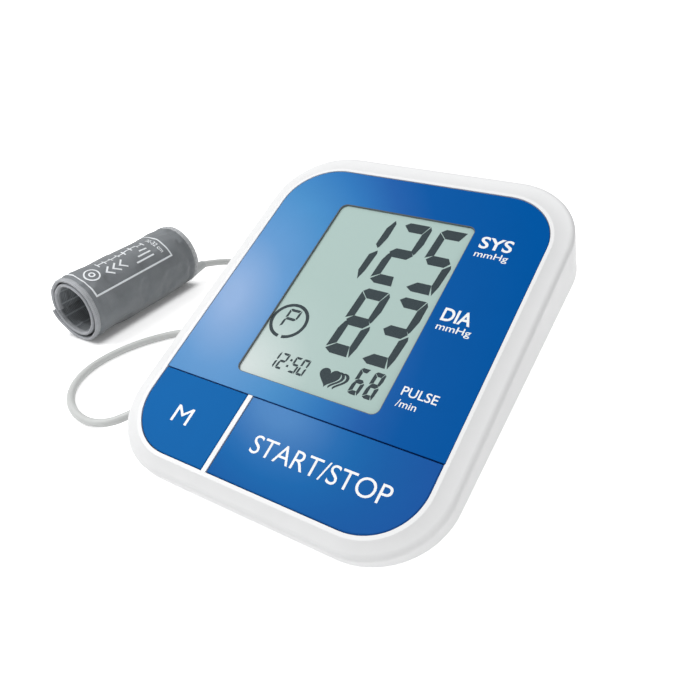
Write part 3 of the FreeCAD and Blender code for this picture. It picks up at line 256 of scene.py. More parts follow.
# The route in millimetres. LIE is the height of a hose that lies on the table, HIGH that of the
# coil's last turn.
HOSE_R = 1.7
LIE = 1.8
HIGH = 9.28
PLUG_END = (-66.4, -35.0, 10.5)
OUT = [
    (-69.8, -35.6, 10.0),
    (-74.0, -39.6, 7.4),
    (-80.8, -45.1, 4.4),
    (-90.0, -47.4, 2.4),
    (-100.0, -46.2, LIE),
    (-109.5, -41.6, LIE),
    (-117.0, -34.0, LIE),
    (-121.4, -24.4, LIE),
    (-122.4, -13.6, LIE),
    (-120.4, -2.4, LIE),
    (-115.2, 10.2, LIE),
    (-106.0, 22.5, LIE),
    (-92.5, 28.5, LIE),
    (-78.0, 30.5, LIE),
    (-65.0, 35.0, LIE),
    (-57.5, 43.0, LIE),
    (-54.9, 53.3, LIE),
]
BACK = [
    (-67.0, 82.5, HIGH),
    (-80.4, 89.3, HIGH - 0.7),
    (-92.2, 94.6, HIGH - 3.0),
    (-103.8, 97.9, LIE + 2.0),
    (-115.3, 98.7, LIE + 0.4),
    (-125.4, 95.8, LIE),
    (-133.0, 89.6, LIE + 1.2),
    (-137.2, 81.2, LIE + 3.7),
]
BOOT_END = (-137.76, 72.0, 8.1)
COIL_X, COIL_Y, COIL_R = -80.0, 60.0, 26.1
COIL_START, COIL_END, COIL_STEPS = -15.0, 60.0 + 720.0, 35


def coil():
    """The two turns of put-away hose, climbing one diameter a turn."""
    points = []
    for k in range(1, COIL_STEPS):
        share = k / COIL_STEPS
        angle = math.radians(COIL_START + (COIL_END - COIL_START) * share)
        points.append((COIL_X + COIL_R * math.cos(angle), COIL_Y + COIL_R * math.sin(angle),
                       LIE + (HIGH - LIE) * share))
    return points


def hose_curve():
    """The whole hose as one round curve from the plug to the boot."""
    line = bpy.data.curves.new("air_hose", "CURVE")
    line.dimensions = "3D"
    line.bevel_depth = 1.0
    line.bevel_resolution = 6
    line.use_fill_caps = True
    route = [PLUG_END] + OUT + coil() + BACK + [BOOT_END]
    spline = line.splines.new("NURBS")
    spline.points.add(len(route) - 1)
    for point, place in zip(spline.points, route):
        point.co = (*[c * MM for c in place], 1)
        point.radius = HOSE_R * MM
    spline.order_u = 3
    spline.use_endpoint_u = True
    spline.resolution_u = 8
    obj = bpy.data.objects.new("air_hose", line)
    bpy.context.scene.collection.objects.link(obj)
    return obj


hose = hose_curve()
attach(hose, "monitor")
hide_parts("hose_device_run", "hose_coil", "hose_cuff_run")
dress(hose, moulded("hose_vinyl", (0.66, 0.675, 0.665), 0.42, vary=0.04, grain=1800, bump=0.08,
                    coarse=60))


# ---------------------------------------------------------------- finishes of the CAD nodes

HOUSING = dict(colour=(0.925, 0.93, 0.935), rough=0.42, vary=0.006, grain=1500, bump=0.008)
white = moulded("white_abs", **HOUSING)
rubber = moulded("foot_rubber", (0.32, 0.33, 0.34), 0.75, grain=3000, bump=0.2)
zinc = moulded("zinc_steel", (0.62, 0.63, 0.64), 0.3, metal=1.0, grain=4000, bump=0.1)
spring = moulded("spring_steel", (0.7, 0.7, 0.69), 0.25, metal=1.0, grain=5000, bump=0.08)
can = moulded("motor_can", (0.58, 0.59, 0.6), 0.34, metal=1.0, grain=3500, bump=0.12)
black = moulded("black_plastic", (0.03, 0.03, 0.033), 0.5, grain=3200, bump=0.15)
grey = moulded("grey_plastic", (0.16, 0.165, 0.17), 0.5, grain=2800, bump=0.12)
green = moulded("solder_mask", (0.02, 0.14, 0.06), 0.35, grain=900, bump=0.05, coat=0.3)
silicone = moulded("silicone", (0.62, 0.64, 0.62), 0.45, grain=1500, bump=0.06)
plug = moulded("plug_plastic", (0.55, 0.57, 0.57), 0.38, grain=2200, bump=0.08, wear=0.2)
cell = moulded("cell_sleeve", (0.08, 0.09, 0.1), 0.25, grain=1600, bump=0.03, coat=0.5)

FINISH = {
    "top_shell": white, "bottom_shell": white, "battery_door": white, "rubber_feet": rubber,
    "case_screws": zinc, "board_screws": zinc, "switch_cases": zinc, "valve_body": zinc,
    "contact_springs": spring, "contact_plates": spring, "motor_shaft": spring,
    "valve_pin": spring, "pump_motor": can, "start_plunger": black, "memory_plunger": black,
    "board_chips": black, "buzzer": black, "pressure_sensor": black, "cuff_bladder": black,
    "display_holder": grey, "pump_head": grey, "air_tee": grey, "pump_cradle": rubber,
    "circuit_board": green, "inner_tubes": silicone, "air_socket": plug, "hose_plug": plug,
    "hose_boot": plug, "batteries": cell,
}
for name, made in FINISH.items():
    wear_cad(name, made)
wear_cad("top_shell", dish_land(moulded("white_abs_face", **HOUSING)))


def blue_with_painted_reflection(name, centre, reach, squeeze, turned, stops):
    """The blue of the face: deep, with a pale oval bloom round a point of the face, partly a
    printed gradient and partly a painted reflection of a soft light.

    The bloom is reach long one way, turned degrees from the face's X, and reach / squeeze the
    other way.
    """
    made, bsdf, net = shader(name)
    place = net.place()
    turn = FACE @ Matrix.Rotation(math.radians(turned), 4, "Z")
    bloom = net.bloom(on_face(*centre), (reach, reach / squeeze, reach), turn)
    broad = net.noise(place, 90.0, 2.0)
    # The bloom stands in for the soft light's reflection, so the real specular is kept very
    # faint.
    net.fill(bsdf, IOR=1.46, Specular_IOR_Level=0.01,
             Base_Color=net.mix(net.tint(bloom, stops), net.spread(broad, 0.97, 1.03),
                                blend="MULTIPLY"),
             Roughness=net.spread(broad, 0.32, 0.42),
             Normal=net.relief(net.noise(place, 2400.0, 2.0), 0.03, 0.1))
    return made


# The pale blooms on the panel and keys are painted reflections of the soft light over a slight
# printed gradient.
wear_cad("face_panel", blue_with_painted_reflection("panel_blue", (-48, -2), 110, 0.63, 23, [
    (0.0, (0, 0.098, 0.383)), (0.3, (0.005, 0.106, 0.394)),
    (0.41, (0.021, 0.128, 0.435)), (0.53, (0.037, 0.204, 0.533)),
    (0.67, (0.079, 0.292, 0.616)), (0.82, (0.143, 0.347, 0.67)),
    (0.97, (0.311, 0.473, 0.761))]))
wear_cad("start_stop_key", blue_with_painted_reflection("start_blue", (-4, -38), 60, 1.5, -20, [
    (0.0, (0.015, 0.108, 0.403)), (0.27, (0.013, 0.125, 0.418)),
    (0.46, (0.014, 0.15, 0.454)), (0.58, (0.026, 0.171, 0.487)),
    (0.71, (0.057, 0.209, 0.526)), (0.87, (0.09, 0.261, 0.579)),
    (1.0, (0.098, 0.271, 0.596))]))
wear_cad("memory_key", blue_with_painted_reflection("memory_blue", (-41, -38), 40, 1.0, 0, [
    (0.0, (0.009, 0.139, 0.437)), (1.0, (0.01, 0.149, 0.458))]))


def lens_finish():
    """Clear moulded acrylic, faintly smeared."""
    made, bsdf, net = shader("lens_clear")
    smear = net.noise(net.place(), 45.0, 3.0)
    net.fill(bsdf, Base_Color=(0.86, 0.92, 0.90, 1), Alpha=0.035, IOR=1.49,
             Roughness=net.spread(smear, 0.03, 0.09))
    return made


wear_cad("display_lens", lens_finish())


def lcd_finish_with_highlight():
    """Reflective display: pale grey-green with the faint grain of its diffuser, lighter towards
    its lower left as a painted highlight.
    """
    made, bsdf, net = shader("lcd_field")
    # Painted highlight: the field grows paler round a point at its lower left.
    bloom = net.bloom(on_face(-30.0, -32.0, -3.6), (46.0, 46.0, 46.0))
    field = net.tint(bloom, [(0.0, (0.455, 0.60, 0.565)), (0.35, (0.48, 0.62, 0.59)),
                             (1.0, (0.78, 0.84, 0.83))])
    grain = net.spread(net.noise(net.place(), 6000.0, 2.0), 0.98, 1.02)
    net.fill(bsdf, Base_Color=net.mix(field, grain, blend="MULTIPLY"), Roughness=0.55,
             Specular_IOR_Level=0.15)
    return made


lcd_field = lcd_finish_with_highlight()
wear_cad("display_glass", lcd_field)

WINDOW_HALF_WIDE, WINDOW_HALF_TALL, WINDOW_Y = 28.0, 40.05, 10.1


def window_outline(inset, corner, steps=8):
    """The display window's outline in face millimetres, inset from the panel's edge."""
    left, right_side = -WINDOW_HALF_WIDE + inset, WINDOW_HALF_WIDE - inset
    low = WINDOW_Y - WINDOW_HALF_TALL + inset
    high = WINDOW_Y + WINDOW_HALF_TALL - inset
    points = []
    for cx, cy, start in ((right_side - corner, high - corner, 0),
                          (left + corner, high - corner, 90),
                          (left + corner, low + corner, 180),
                          (right_side - corner, low + corner, 270)):
        for k in range(steps + 1):
            a = math.radians(start + 90 * k / steps)
            points.append((cx + corner * math.cos(a), cy + corner * math.sin(a)))
    return points


def face_prism(name, outer, low, high, made, inner=None):
    """A prism of the face frame between two heights, with an opening if inner is given."""
    count = len(outer)
    loops = [outer, outer] if inner is None else [outer, outer, inner, inner]
    heights = (low, high, low, high)
    verts = [on_face(x, y, z) for loop, z in zip(loops, heights) for x, y in loop]
    faces = []
    for k in range(count):
        n = (k + 1) % count
        faces.append([k, n, count + n, count + k])
        if inner is not None:
            faces.append([2 * count + n, 2 * count + k, 3 * count + k, 3 * count + n])
            faces.append([count + k, count + n, 3 * count + n, 3 * count + k])
            faces.append([n, k, 2 * count + k, 2 * count + n])
    if inner is None:
        faces.append(list(range(count))[::-1])
        faces.append(list(range(count, 2 * count)))
    obj = mesh_object(name, verts, faces, smooth=False)
    dress(obj, made)
    return obj


# Heights in the face frame: the foot of field and seal, just over the lens, and their tops.
FOOT_Z, FIELD_Z, SEAL_Z = -1.46, -0.75, -0.06
INK_Z = FIELD_Z + 0.03
face_prism("display_field", window_outline(0.3, 2.5), FOOT_Z, FIELD_Z, lcd_field)
seal = moulded("seal_rubber", (0.12, 0.14, 0.15), 0.6, grain=3000, bump=0.1)
face_prism("display_seal", window_outline(0.02, 2.78), FOOT_Z, SEAL_Z, seal,
           inner=window_outline(0.24, 2.56))


# ---------------------------------------------------------------- display marks and labels


def ink_finish():
    """The dark of the display's segments."""
    made, bsdf, net = shader("lcd_ink")
    grain = net.noise(net.place(), 3000.0, 1.0)
    net.fill(bsdf, Roughness=0.5, Specular_IOR_Level=0.1,
             Base_Color=net.tint(grain, [(NOISE_LOW, (0.035, 0.052, 0.060)),
                                         (NOISE_HIGH, (0.048, 0.068, 0.076))]))
    return made


ink = ink_finish()
EYE = FACE.inverted() @ camera.matrix_world.translation / MM


def sunk(x, y):
    """Where the photograph's line of sight through a point of the face meets the ink."""
    share = INK_Z / EYE.z
    return x + (EYE.x - x) * share, y + (EYE.y - y) * share, INK_Z


def lcd_mark(name, shapes):
    """Closed shapes of the face plan, inked on the display's field, as one piece."""
    verts, faces = [], []
    for loop in shapes:
        faces.append(list(range(len(verts), len(verts) + len(loop))))
        verts += [on_face(*sunk(x, y)) for x, y in loop]
    dress(mesh_object(name, verts, faces, smooth=False), ink)


SEGMENTS = {
    "0": "abcdef", "1": "bc", "2": "abged", "3": "abgcd", "5": "afgcd", "6": "afgedc",
    "8": "abcdefg", "P": "abefg",
}
LEAN = 0.06


def digit(char, x, y, wide, tall, thick, level, gap=0.35):
    """Seven-segment shapes of one digit, thick across its uprights and level across its bars.

    x, y is its lower left corner.
    """
    w, h, t, b, g = wide, tall, thick, level, gap / 2
    m = h / 2
    shapes = {
        "a": [(g, h - b * 0.36), (t * 0.6, h), (w - t * 0.5 - g, h), (w - t - g, h - b),
              (t + g, h - b)],
        "b": [(w - t * 0.5 + g, h - b * 0.04), (w - t * 0.1, h - b * 0.4), (w, m + b * 1.4),
              (w - t * 0.3, m + b * 0.3), (w - t * 0.45, m + b * 0.06 + g), (w - t, m + b * 0.5),
              (w - t, h - b - g)],
        "c": [(w - t * 0.2, m - b * 0.1 - g), (w, m - b * 0.5), (w - t * 0.1, b),
              (w - t * 0.45 + g, 0), (w - t, b * 0.92), (w - t, m - b * 0.7)],
        "d": [(g, b * 0.34), (t + g, b), (w - t - g, b), (w - t * 0.6 - g, 0), (t * 0.9, 0)],
        "e": [(t * 0.5, m - b * 0.06 - g), (t, m - b * 0.55), (t, b + g), (0, b * 0.5),
              (0, m - b), (t * 0.3, m - b * 0.26)],
        "f": [(0, h - b * 0.42), (t, h - b - g), (t, m + b * 0.5 + g), (0, m + b * 0.08 + g)],
        "g": [(t * 0.22 + g, m), (t * 0.85 + g, m + b * 0.5), (w - t * 0.9 - g, m + b * 0.5),
              (w - t * 0.35 - g, m), (w - t * 0.9 - g, m - b * 0.5),
              (t * 0.85 + g, m - b * 0.5)],
    }
    return [[(x + px + (py - m) * LEAN, y + py) for px, py in shapes[s]] for s in SEGMENTS[char]]


def number_row(text, lefts, low, wide, tall, thick, level, gap=0.35):
    """Digits whose left sides at mid height and common foot are given, in face millimetres."""
    made = []
    for char, left in zip(text, lefts):
        made += digit(char, left, low, wide, tall, thick, level, gap=gap)
    return made


lcd_mark("lcd_upper_reading",
         number_row("125", (-13.7, 0.8, 15.3), 17.6, 11.4, 29.0, 2.9, 4.2))
lcd_mark("lcd_lower_reading", number_row("83", (-0.4, 14.1), -13.5, 11.2, 28.3, 2.9, 4.2))


def ring(cx, cy, r, wide, start=0, end=360, steps=48):
    """A ring's quads as closed shapes."""
    quads = []
    for k in range(steps):
        a = math.radians(start + (end - start) * k / steps)
        b = math.radians(start + (end - start) * (k + 1) / steps)
        quads.append([(cx + (r - wide) * math.cos(a), cy + (r - wide) * math.sin(a)),
                      (cx + r * math.cos(a), cy + r * math.sin(a)),
                      (cx + r * math.cos(b), cy + r * math.sin(b)),
                      (cx + (r - wide) * math.cos(b), cy + (r - wide) * math.sin(b))])
    return quads


lcd_mark("lcd_mark_ring", ring(-19.6, -6.2, 7.45, 1.25, -84, 264))
lcd_mark("lcd_mark_letter", digit("P", -21.9, -9.7, 5.1, 8.6, 0.9, 1.1, gap=0.4))
clock = number_row("1250", (-17.7, -14.2, -8.9, -5.7), -25.0, 2.9, 6.5, 0.75, 0.85, gap=0.2)
DOT = 0.42
for dot_x, dot_y in ((-9.9, -20.45), (-10.2, -22.95)):
    clock.append([(dot_x + dx, dot_y + dy)
                  for dx, dy in ((-DOT, -DOT), (DOT, -DOT), (DOT, DOT), (-DOT, DOT))])
lcd_mark("lcd_clock", clock)
lcd_mark("lcd_pulse_reading",
         number_row("68", (14.9, 20.2), -25.5, 4.1, 10.2, 1.3, 1.6, gap=0.25))

HEART_X, HEART_Y, HEART_STEPS = 6.1, -22.0, 40
HEART_R, ECHO_R, ECHO_INNER_R, ECHO_SHIFT, ECHO_FROM, ECHO_TO = 3.9, 3.8, 3.1, 0.4, 3, 21


def heart(cx, s, first=0, last=HEART_STEPS):
    """Points of a heart's outline, from the dip at its top down its right side and round."""
    points = []
    for k in range(first, last):
        t = 2 * math.pi * k / HEART_STEPS
        points.append((cx + s * math.sin(t) ** 3,
                       HEART_Y + s * (13 * math.cos(t) - 5 * math.cos(2 * t)
                                      - 2 * math.cos(3 * t) - math.cos(4 * t)) / 16))
    return points


lcd_mark("lcd_heart", [heart(HEART_X, HEART_R)])
echoes = []
for echo_x in (HEART_X + 1.65, HEART_X + 3.35):
    outer = heart(echo_x, ECHO_R, ECHO_FROM, ECHO_TO)
    inner = heart(echo_x - ECHO_SHIFT, ECHO_INNER_R, ECHO_FROM, ECHO_TO)
    echoes += [[outer[k], outer[k + 1], inner[k + 1], inner[k]] for k in range(len(outer) - 1)]
lcd_mark("lcd_heart_echoes", echoes)

label_white = moulded("label_ink", (0.97, 0.98, 0.985), 0.42, vary=0.01, grain=2500, bump=0.03)


def lettering(name, text, place, made, weight=0.0, body="monitor"):
    """Printed letters as a mesh; place takes a point of the text, one unit high, to space."""
    data = bpy.data.curves.new(name, "FONT")
    data.body = text
    data.size = 1.0
    data.offset = weight
    data.resolution_u = 5
    draft = bpy.data.objects.new(name + "_draft", data)
    bpy.context.scene.collection.objects.link(draft)
    bpy.context.view_layer.update()
    graph = bpy.context.evaluated_depsgraph_get()
    mesh = bpy.data.meshes.new_from_object(draft.evaluated_get(graph))
    bpy.data.objects.remove(draft)
    left = min(v.co.x for v in mesh.vertices)
    for v in mesh.vertices:
        v.co = place(v.co.x - left, v.co.y)
    obj = bpy.data.objects.new(name, mesh)
    bpy.context.scene.collection.objects.link(obj)
    dress(obj, made)
    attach(obj, body)
    return obj


# Labels are placed on a plan of the face, PLAN_DOTS to the millimetre, with PLAN_X, PLAN_Y at
# the panel's centre. CAP_SHARE is a capital's height in the font's unit.
PLAN_X, PLAN_Y, PLAN_DOTS = 523, 592.5, 7.5
CAP_SHARE = 0.729
ON_PANEL, ON_KEY = 0.03, 0.23


def printed(name, text, left, right_end, base, cap, body="monitor", z=ON_PANEL, weight=0.0):
    """Printed lettering on the face, fitted between two plan dots on its base line."""
    x0, y0 = (left - PLAN_X) / PLAN_DOTS, (PLAN_Y - base) / PLAN_DOTS
    x1 = (right_end - PLAN_X) / PLAN_DOTS
    obj = lettering(name, text, lambda x, y: Vector((x, y, z)), label_white, weight, body)
    wide = (x1 - x0) / max(v.co.x for v in obj.data.vertices)
    tall = cap / CAP_SHARE
    for v in obj.data.vertices:
        v.co = on_face(x0 + v.co.x * wide, y0 + v.co.y * tall, z)


printed("label_sys", "SYS", 760, 848, 280, 5.3, weight=0.02)
printed("label_sys_unit", "mmHg", 760, 850, 310, 2.7, weight=0.008)
printed("label_dia", "DIA", 760, 838, 521, 5.3, weight=0.02)
printed("label_dia_unit", "mmHg", 760, 850, 549, 2.7, weight=0.008)
printed("label_pulse", "PULSE", 760, 852, 745, 3.4, weight=0.008)
printed("label_pulse_unit", "/min", 760, 812, 776, 2.7, weight=0.004)
printed("label_memory", "M", 228, 281, 1005, 6.7, body="memory_key", z=ON_KEY, weight=-0.002)
printed("label_start", "START/STOP", 480, 853, 1005, 6.7, body="start_key", z=ON_KEY,
        weight=-0.002)


# ---------------------------------------------------------------- rolled cuff

# The roll lies along Y. It is counted in half turns from its free end outside to its end inside.
CUFF_X, CUFF_Z, CUFF_FRONT, CUFF_LONG = -148.0, 16.1, -4.0, 68.0
CUFF_R, PITCH, HALF_TURNS = 16.0, 2.1, 4
CUFF_MIDDLE_R = CUFF_R - PITCH
FLAP_TURN = math.radians(-74)
# The free end lifts most at the roll's two ends.
FLAP_LIFT, FLAP_ROUND, FLAP_REACH = 1.1, 0.22, 14
# The half turns over which the inner turns' slack comes and goes, and the share of it that goes.
INNER_SLACK, SLACK_COMES, SLACK_GOES, SLACK_SHARE = 0.6, (1.9, 2.5), (3.1, 3.6), 0.7
# How uneven the round is, its waves round the roll, and their length or their reach along it.
UNEVEN, UNEVEN_WAVES, UNEVEN_LONG = 0.2, 1.3, 15
END_UNEVEN, END_WAVES, END_REACH = 0.5, 1.9, 9
CLOTH_THICK = 1.25
TAPE_WIDE, TAPE_THICK = 2.6, 1.55
FLOOR_GAP, LEAST_Z = 0.12, 0.04
ROLL_STEPS = 360
SIM_ROWS, SIM_COLUMNS, SIM_FRAMES, SIM_SCALE = 46, 150, 18, 20.0


def smooth_step(low, high, value):
    """0 up to low, 1 from high on, and a smooth rise between."""
    t = max(0.0, min(1.0, (value - low) / (high - low)))
    return t * t * (3 - 2 * t)


def end_distance(y):
    """How far a point at y lies from the roll's nearer end."""
    return max(0.0, min(y, CUFF_LONG - y))


def roll_point(s, skin, y):
    """A point of the roll: s half turns from the free end, skin mm into the cloth.

    The inner turns hang slack, the free end lifts, and slow noise makes the round uneven,
    most at the two ends.
    """
    index = min(int(s), HALF_TURNS - 1)
    slack = INNER_SLACK * smooth_step(*SLACK_COMES, s)
    slack *= 1 - SLACK_SHARE * smooth_step(*SLACK_GOES, s)
    lift = FLAP_LIFT * (1 - smooth_step(0.0, FLAP_ROUND, s)) * math.exp(
        -end_distance(y) / FLAP_REACH)
    radius = CUFF_R - index * PITCH / 2 - skin - slack + lift
    centre = PITCH / 2 * (index % 2)
    angle = math.pi * (s - index) + (-math.pi / 2 if index % 2 == 0 else math.pi / 2)
    x, z = radius * math.cos(angle), centre + radius * math.sin(angle)
    c, n = math.cos(FLAP_TURN), math.sin(FLAP_TURN)
    x, z = x * c - z * n, x * n + z * c
    around = math.atan2(z, x)
    c, n = math.cos(around), math.sin(around)
    pattern = 9.0 if y > CUFF_LONG / 2 else 3.0
    uneven = UNEVEN * noise.noise((UNEVEN_WAVES * c, UNEVEN_WAVES * n, y / UNEVEN_LONG))
    uneven += END_UNEVEN * math.exp(-end_distance(y) / END_REACH) * noise.noise(
        (END_WAVES * c + pattern, END_WAVES * n, pattern))
    x += uneven * c
    z += uneven * n
    z = max(LEAST_Z, FLOOR_GAP + skin, CUFF_Z + z)
    return Vector((CUFF_X + x, CUFF_FRONT + y, z)) * MM


def relax_cloth(rows, columns):
    """Lets the wrap's middle surface settle as cloth held at its bound edges.

    Gives how far each point moved out from the roll's axis, in mm, by column and row.
    """
    flat = [[0.0] * rows for _ in range(columns)]
    steps = [HALF_TURNS * k / (columns - 1) for k in range(columns)]
    levels = [CUFF_LONG * j / (rows - 1) for j in range(rows)]
    rest = [roll_point(s, CLOTH_THICK / 2, y) * SIM_SCALE for s in steps for y in levels]
    quads = [[k * rows + j, (k + 1) * rows + j, (k + 1) * rows + j + 1, k * rows + j + 1]
             for k in range(columns - 1) for j in range(rows - 1)]
    draft = mesh_object("cloth_draft", rest, quads, body=None)
    held = draft.vertex_groups.new(name="held")
    held.add([k * rows + j for k in range(columns) for j in range(rows)
              if end_distance(levels[j]) < TAPE_WIDE + 0.5 or k in (0, columns - 1)],
             1.0, "REPLACE")
    cloth = draft.modifiers.new("cloth", "CLOTH")
    settings = cloth.settings
    settings.quality = 6
    settings.mass = 0.15
    settings.tension_stiffness = 25
    settings.compression_stiffness = 25
    settings.shear_stiffness = 12
    settings.bending_stiffness = 0.12
    settings.air_damping = 2.0
    settings.vertex_group_mass = "held"
    settings.shrink_min = -0.045
    settings.effector_weights.gravity = 0.0
    cloth.collision_settings.use_collision = False
    cloth.collision_settings.use_self_collision = False
    scene = bpy.context.scene
    for number in range(1, SIM_FRAMES + 1):
        scene.frame_set(number)
    graph = bpy.context.evaluated_depsgraph_get()
    settled = [v.co.copy() for v in draft.evaluated_get(graph).data.vertices]
    scene.frame_set(1)
    bpy.data.objects.remove(draft)
    for k in range(columns):
        for j in range(rows):
            moved = []
            for point in (settled[k * rows + j], rest[k * rows + j]):
                moved.append(math.hypot(point.x / SIM_SCALE / MM - CUFF_X,
                                        point.z / SIM_SCALE / MM - CUFF_Z))
            flat[k][j] = moved[0] - moved[1]
    return flat


settled_cloth = relax_cloth(SIM_ROWS, SIM_COLUMNS)
# How far the settled cloth may sink and rise: on the outer turn and inside it.
ROOM_OUTER, ROOM_INNER, ROOM_CHANGE = (-0.15, 0.6), (-0.35, 0.12), (1.8, 2.2)


def settle(s, y):
    """The simulated rise of the cloth at (s, y), within the room that the layers leave."""
    u = min(max(s / HALF_TURNS, 0.0), 1.0) * (SIM_COLUMNS - 1)
    v = min(max(y / CUFF_LONG, 0.0), 1.0) * (SIM_ROWS - 1)
    k, j = min(int(u), SIM_COLUMNS - 2), min(int(v), SIM_ROWS - 2)
    u, v = u - k, v - j
    near = settled_cloth[k][j] * (1 - v) + settled_cloth[k][j + 1] * v
    far = settled_cloth[k + 1][j] * (1 - v) + settled_cloth[k + 1][j + 1] * v
    rise = near * (1 - u) + far * u
    inside = smooth_step(*ROOM_CHANGE, s)
    least, most = [a + (b - a) * inside for a, b in zip(ROOM_OUTER, ROOM_INNER)]
    return max(least, min(most, rise))


def roll_strip(name, y_rows, skin_out, skin_in, materials):
    """A stretch of the rolled cloth as a closed slab; the skins are functions of (s, y).

    A second material goes on the inside.
    """
    verts, faces = [], []
    rows = len(y_rows)
    for side in (skin_out, skin_in):
        for k in range(ROLL_STEPS + 1):
            s = HALF_TURNS * k / ROLL_STEPS
            verts += [roll_point(s, side(s, y), y) for y in y_rows]
    half = (ROLL_STEPS + 1) * rows
    for side in (0, 1):
        for k in range(ROLL_STEPS):
            for j in range(rows - 1):
                a = side * half + k * rows + j
                quad = [a, a + rows, a + rows + 1, a + 1]
                faces.append(quad[::-1] if side else quad)
    skins = len(faces)
    for k in range(ROLL_STEPS):
        for j, flip in ((0, False), (rows - 1, True)):
            a = k * rows + j
            quad = [a, a + half, a + half + rows, a + rows]
            faces.append(quad[::-1] if flip else quad)
    for k, flip in ((0, True), (ROLL_STEPS, False)):
        for j in range(rows - 1):
            a = k * rows + j
            quad = [a, a + half, a + half + 1, a + 1]
            faces.append(quad[::-1] if flip else quad)
    obj = mesh_object(name, verts, faces, body=None)
    for made in materials:
        obj.data.materials.append(made)
    if len(materials) > 1:
        for polygon in obj.data.polygons[skins // 2:skins]:
            polygon.material_index = 1
    layer = obj.data.uv_layers.new(name="cloth")
    along = []
    for side in range(2):
        for k in range(ROLL_STEPS + 1):
            s = HALF_TURNS * k / ROLL_STEPS
            along += [(s * math.pi * CUFF_MIDDLE_R * MM, y * MM) for y in y_rows]
    for loop in obj.data.loops:
        layer.data[loop.index].uv = along[loop.vertex_index]
    return obj


# The distance between a wave texture's bands at scale 1.
WAVE_SPAN = 0.314


def cloth_finish(name, colour, pitch, strength, rough=0.75, sheen=0.25, vary=0.12, lines=0.0):
    """Woven nylon: a plain weave of given thread pitch, mottled, with a dull sheen.

    Pale lines, painted highlights on the welded ribs, run across it at the pitch given by lines,
    if any.
    """
    made, bsdf, net = shader(name)
    uv = net.place("UV")
    waves = [net.add("TexWave", wave_type="BANDS", bands_direction=axis, Vector=uv,
                     Scale=WAVE_SPAN / pitch / MM, Distortion=0.6, Detail=1.0,
                     Detail_Scale=2.0).outputs["Fac"] for axis in ("X", "Y")]
    weave = net.steps(waves[0], ("MAXIMUM", waves[1]))
    broad = net.noise(net.place(), 120.0, 4.0, 0.6)
    base = net.mottle(broad, colour, vary)
    base = net.mix(base, net.spread(weave, 0.82, 1.08), blend="MULTIPLY")
    # Painted highlights along the lining's welded ribs.
    if lines:
        along = net.add("SeparateXYZ", Vector=uv).outputs["X"]
        off_line = net.steps(along, ("MULTIPLY", 1 / lines / MM), ("FRACT", 0.0),
                             ("SUBTRACT", 0.5), ("ABSOLUTE", 0.0))
        rib_highlight = net.spread(off_line, 1.0, 0.0, 0.03, 0.08, interpolation_type="SMOOTHSTEP")
        base = net.mix(base, (*shaded(colour, 1.8), 1), rib_highlight)
    net.fill(bsdf, Base_Color=base, Roughness=rough, Sheen_Weight=sheen, Sheen_Roughness=0.4,
             Normal=net.relief(weave, strength, 0.15))
    return made


# How far the seam draws the cloth in, how much its gathers add there and further off, and how
# far each reaches along the roll.
SEAM_DEEP, SEAM_GATHERS, SEAM_REACH = 0.28, 0.3, 2.2
OFF_GATHERS, OFF_REACH = 0.22, 7
GATHER_WAVES, GATHER_LONG = 17, 9


def pucker(s, y):
    """How far the cloth sinks where it is sewn under the tape, in mm, with small gathers."""
    edge = max(0.0, end_distance(y) - TAPE_WIDE)
    pattern = 5.0 if y > CUFF_LONG / 2 else 1.0
    gathers = noise.noise((s * GATHER_WAVES, y / GATHER_LONG, pattern))
    return ((SEAM_DEEP + SEAM_GATHERS * gathers) * math.exp(-edge / SEAM_REACH)
            + OFF_GATHERS * gathers * math.exp(-edge / OFF_REACH))


# RIB_WIDE is a share of the pitch, INSIDE_FROM where the lining's side begins, in half turns.
RIB_PITCH, RIB_HIGH, RIB_WIDE, INSIDE_FROM = 8.0, 0.22, 0.06, 1.9


def rib(s):
    """The lining's welded lines, which run along the inner turn."""
    if s <= INSIDE_FROM:
        return 0.0
    phase = s * math.pi * CUFF_MIDDLE_R / RIB_PITCH % 1.0
    return RIB_HIGH * math.exp(-((phase - 0.5) / RIB_WIDE) ** 2)


nylon = cloth_finish("grey_nylon", (0.207, 0.223, 0.238), 0.55, 0.4, rough=0.6)
# The lining's pale lines are painted highlights on its ribs.
lining = cloth_finish("dark_lining", (0.21, 0.225, 0.24), 0.8, 0.8, rough=0.7, sheen=0.4,
                      lines=RIB_PITCH)
WRAP_UNDER_TAPE, WRAP_STEPS, WRAP_SKIN = 1.0, 64, 0.1
wrap_edge = TAPE_WIDE - WRAP_UNDER_TAPE
wrap_rows = [wrap_edge + (CUFF_LONG - 2 * wrap_edge) * j / WRAP_STEPS
             for j in range(WRAP_STEPS + 1)]
wrap = roll_strip(
    "cuff_wrap", wrap_rows,
    lambda s, y: WRAP_SKIN + pucker(s, y) - settle(s, y),
    lambda s, y: CLOTH_THICK - 0.5 * pucker(s, y) - settle(s, y) + rib(s),
    materials=(nylon, lining))
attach(wrap, "monitor")
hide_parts("cuff_cloth")

tape = cloth_finish("binding_tape", (0.44, 0.455, 0.48), 0.8, 0.7, rough=0.8)
# The far tape is the same tape painted lighter, a painted highlight where it catches the light
# from above.
far_tape_painted_lighter = cloth_finish("far_binding_tape_painted_light", (0.58, 0.595, 0.61), 0.8, 0.7, rough=0.8)
TAPE_ROWS, TAPE_SKIN, TAPE_HALF_LEAST = 10, 0.05, 0.02
TAPE_ROUND, TAPE_PRESSED, PRESSED_WIDE = 0.8, 0.3, 0.5
TAPE_RIPPLE, RIPPLE_WAVES = 0.12, 20


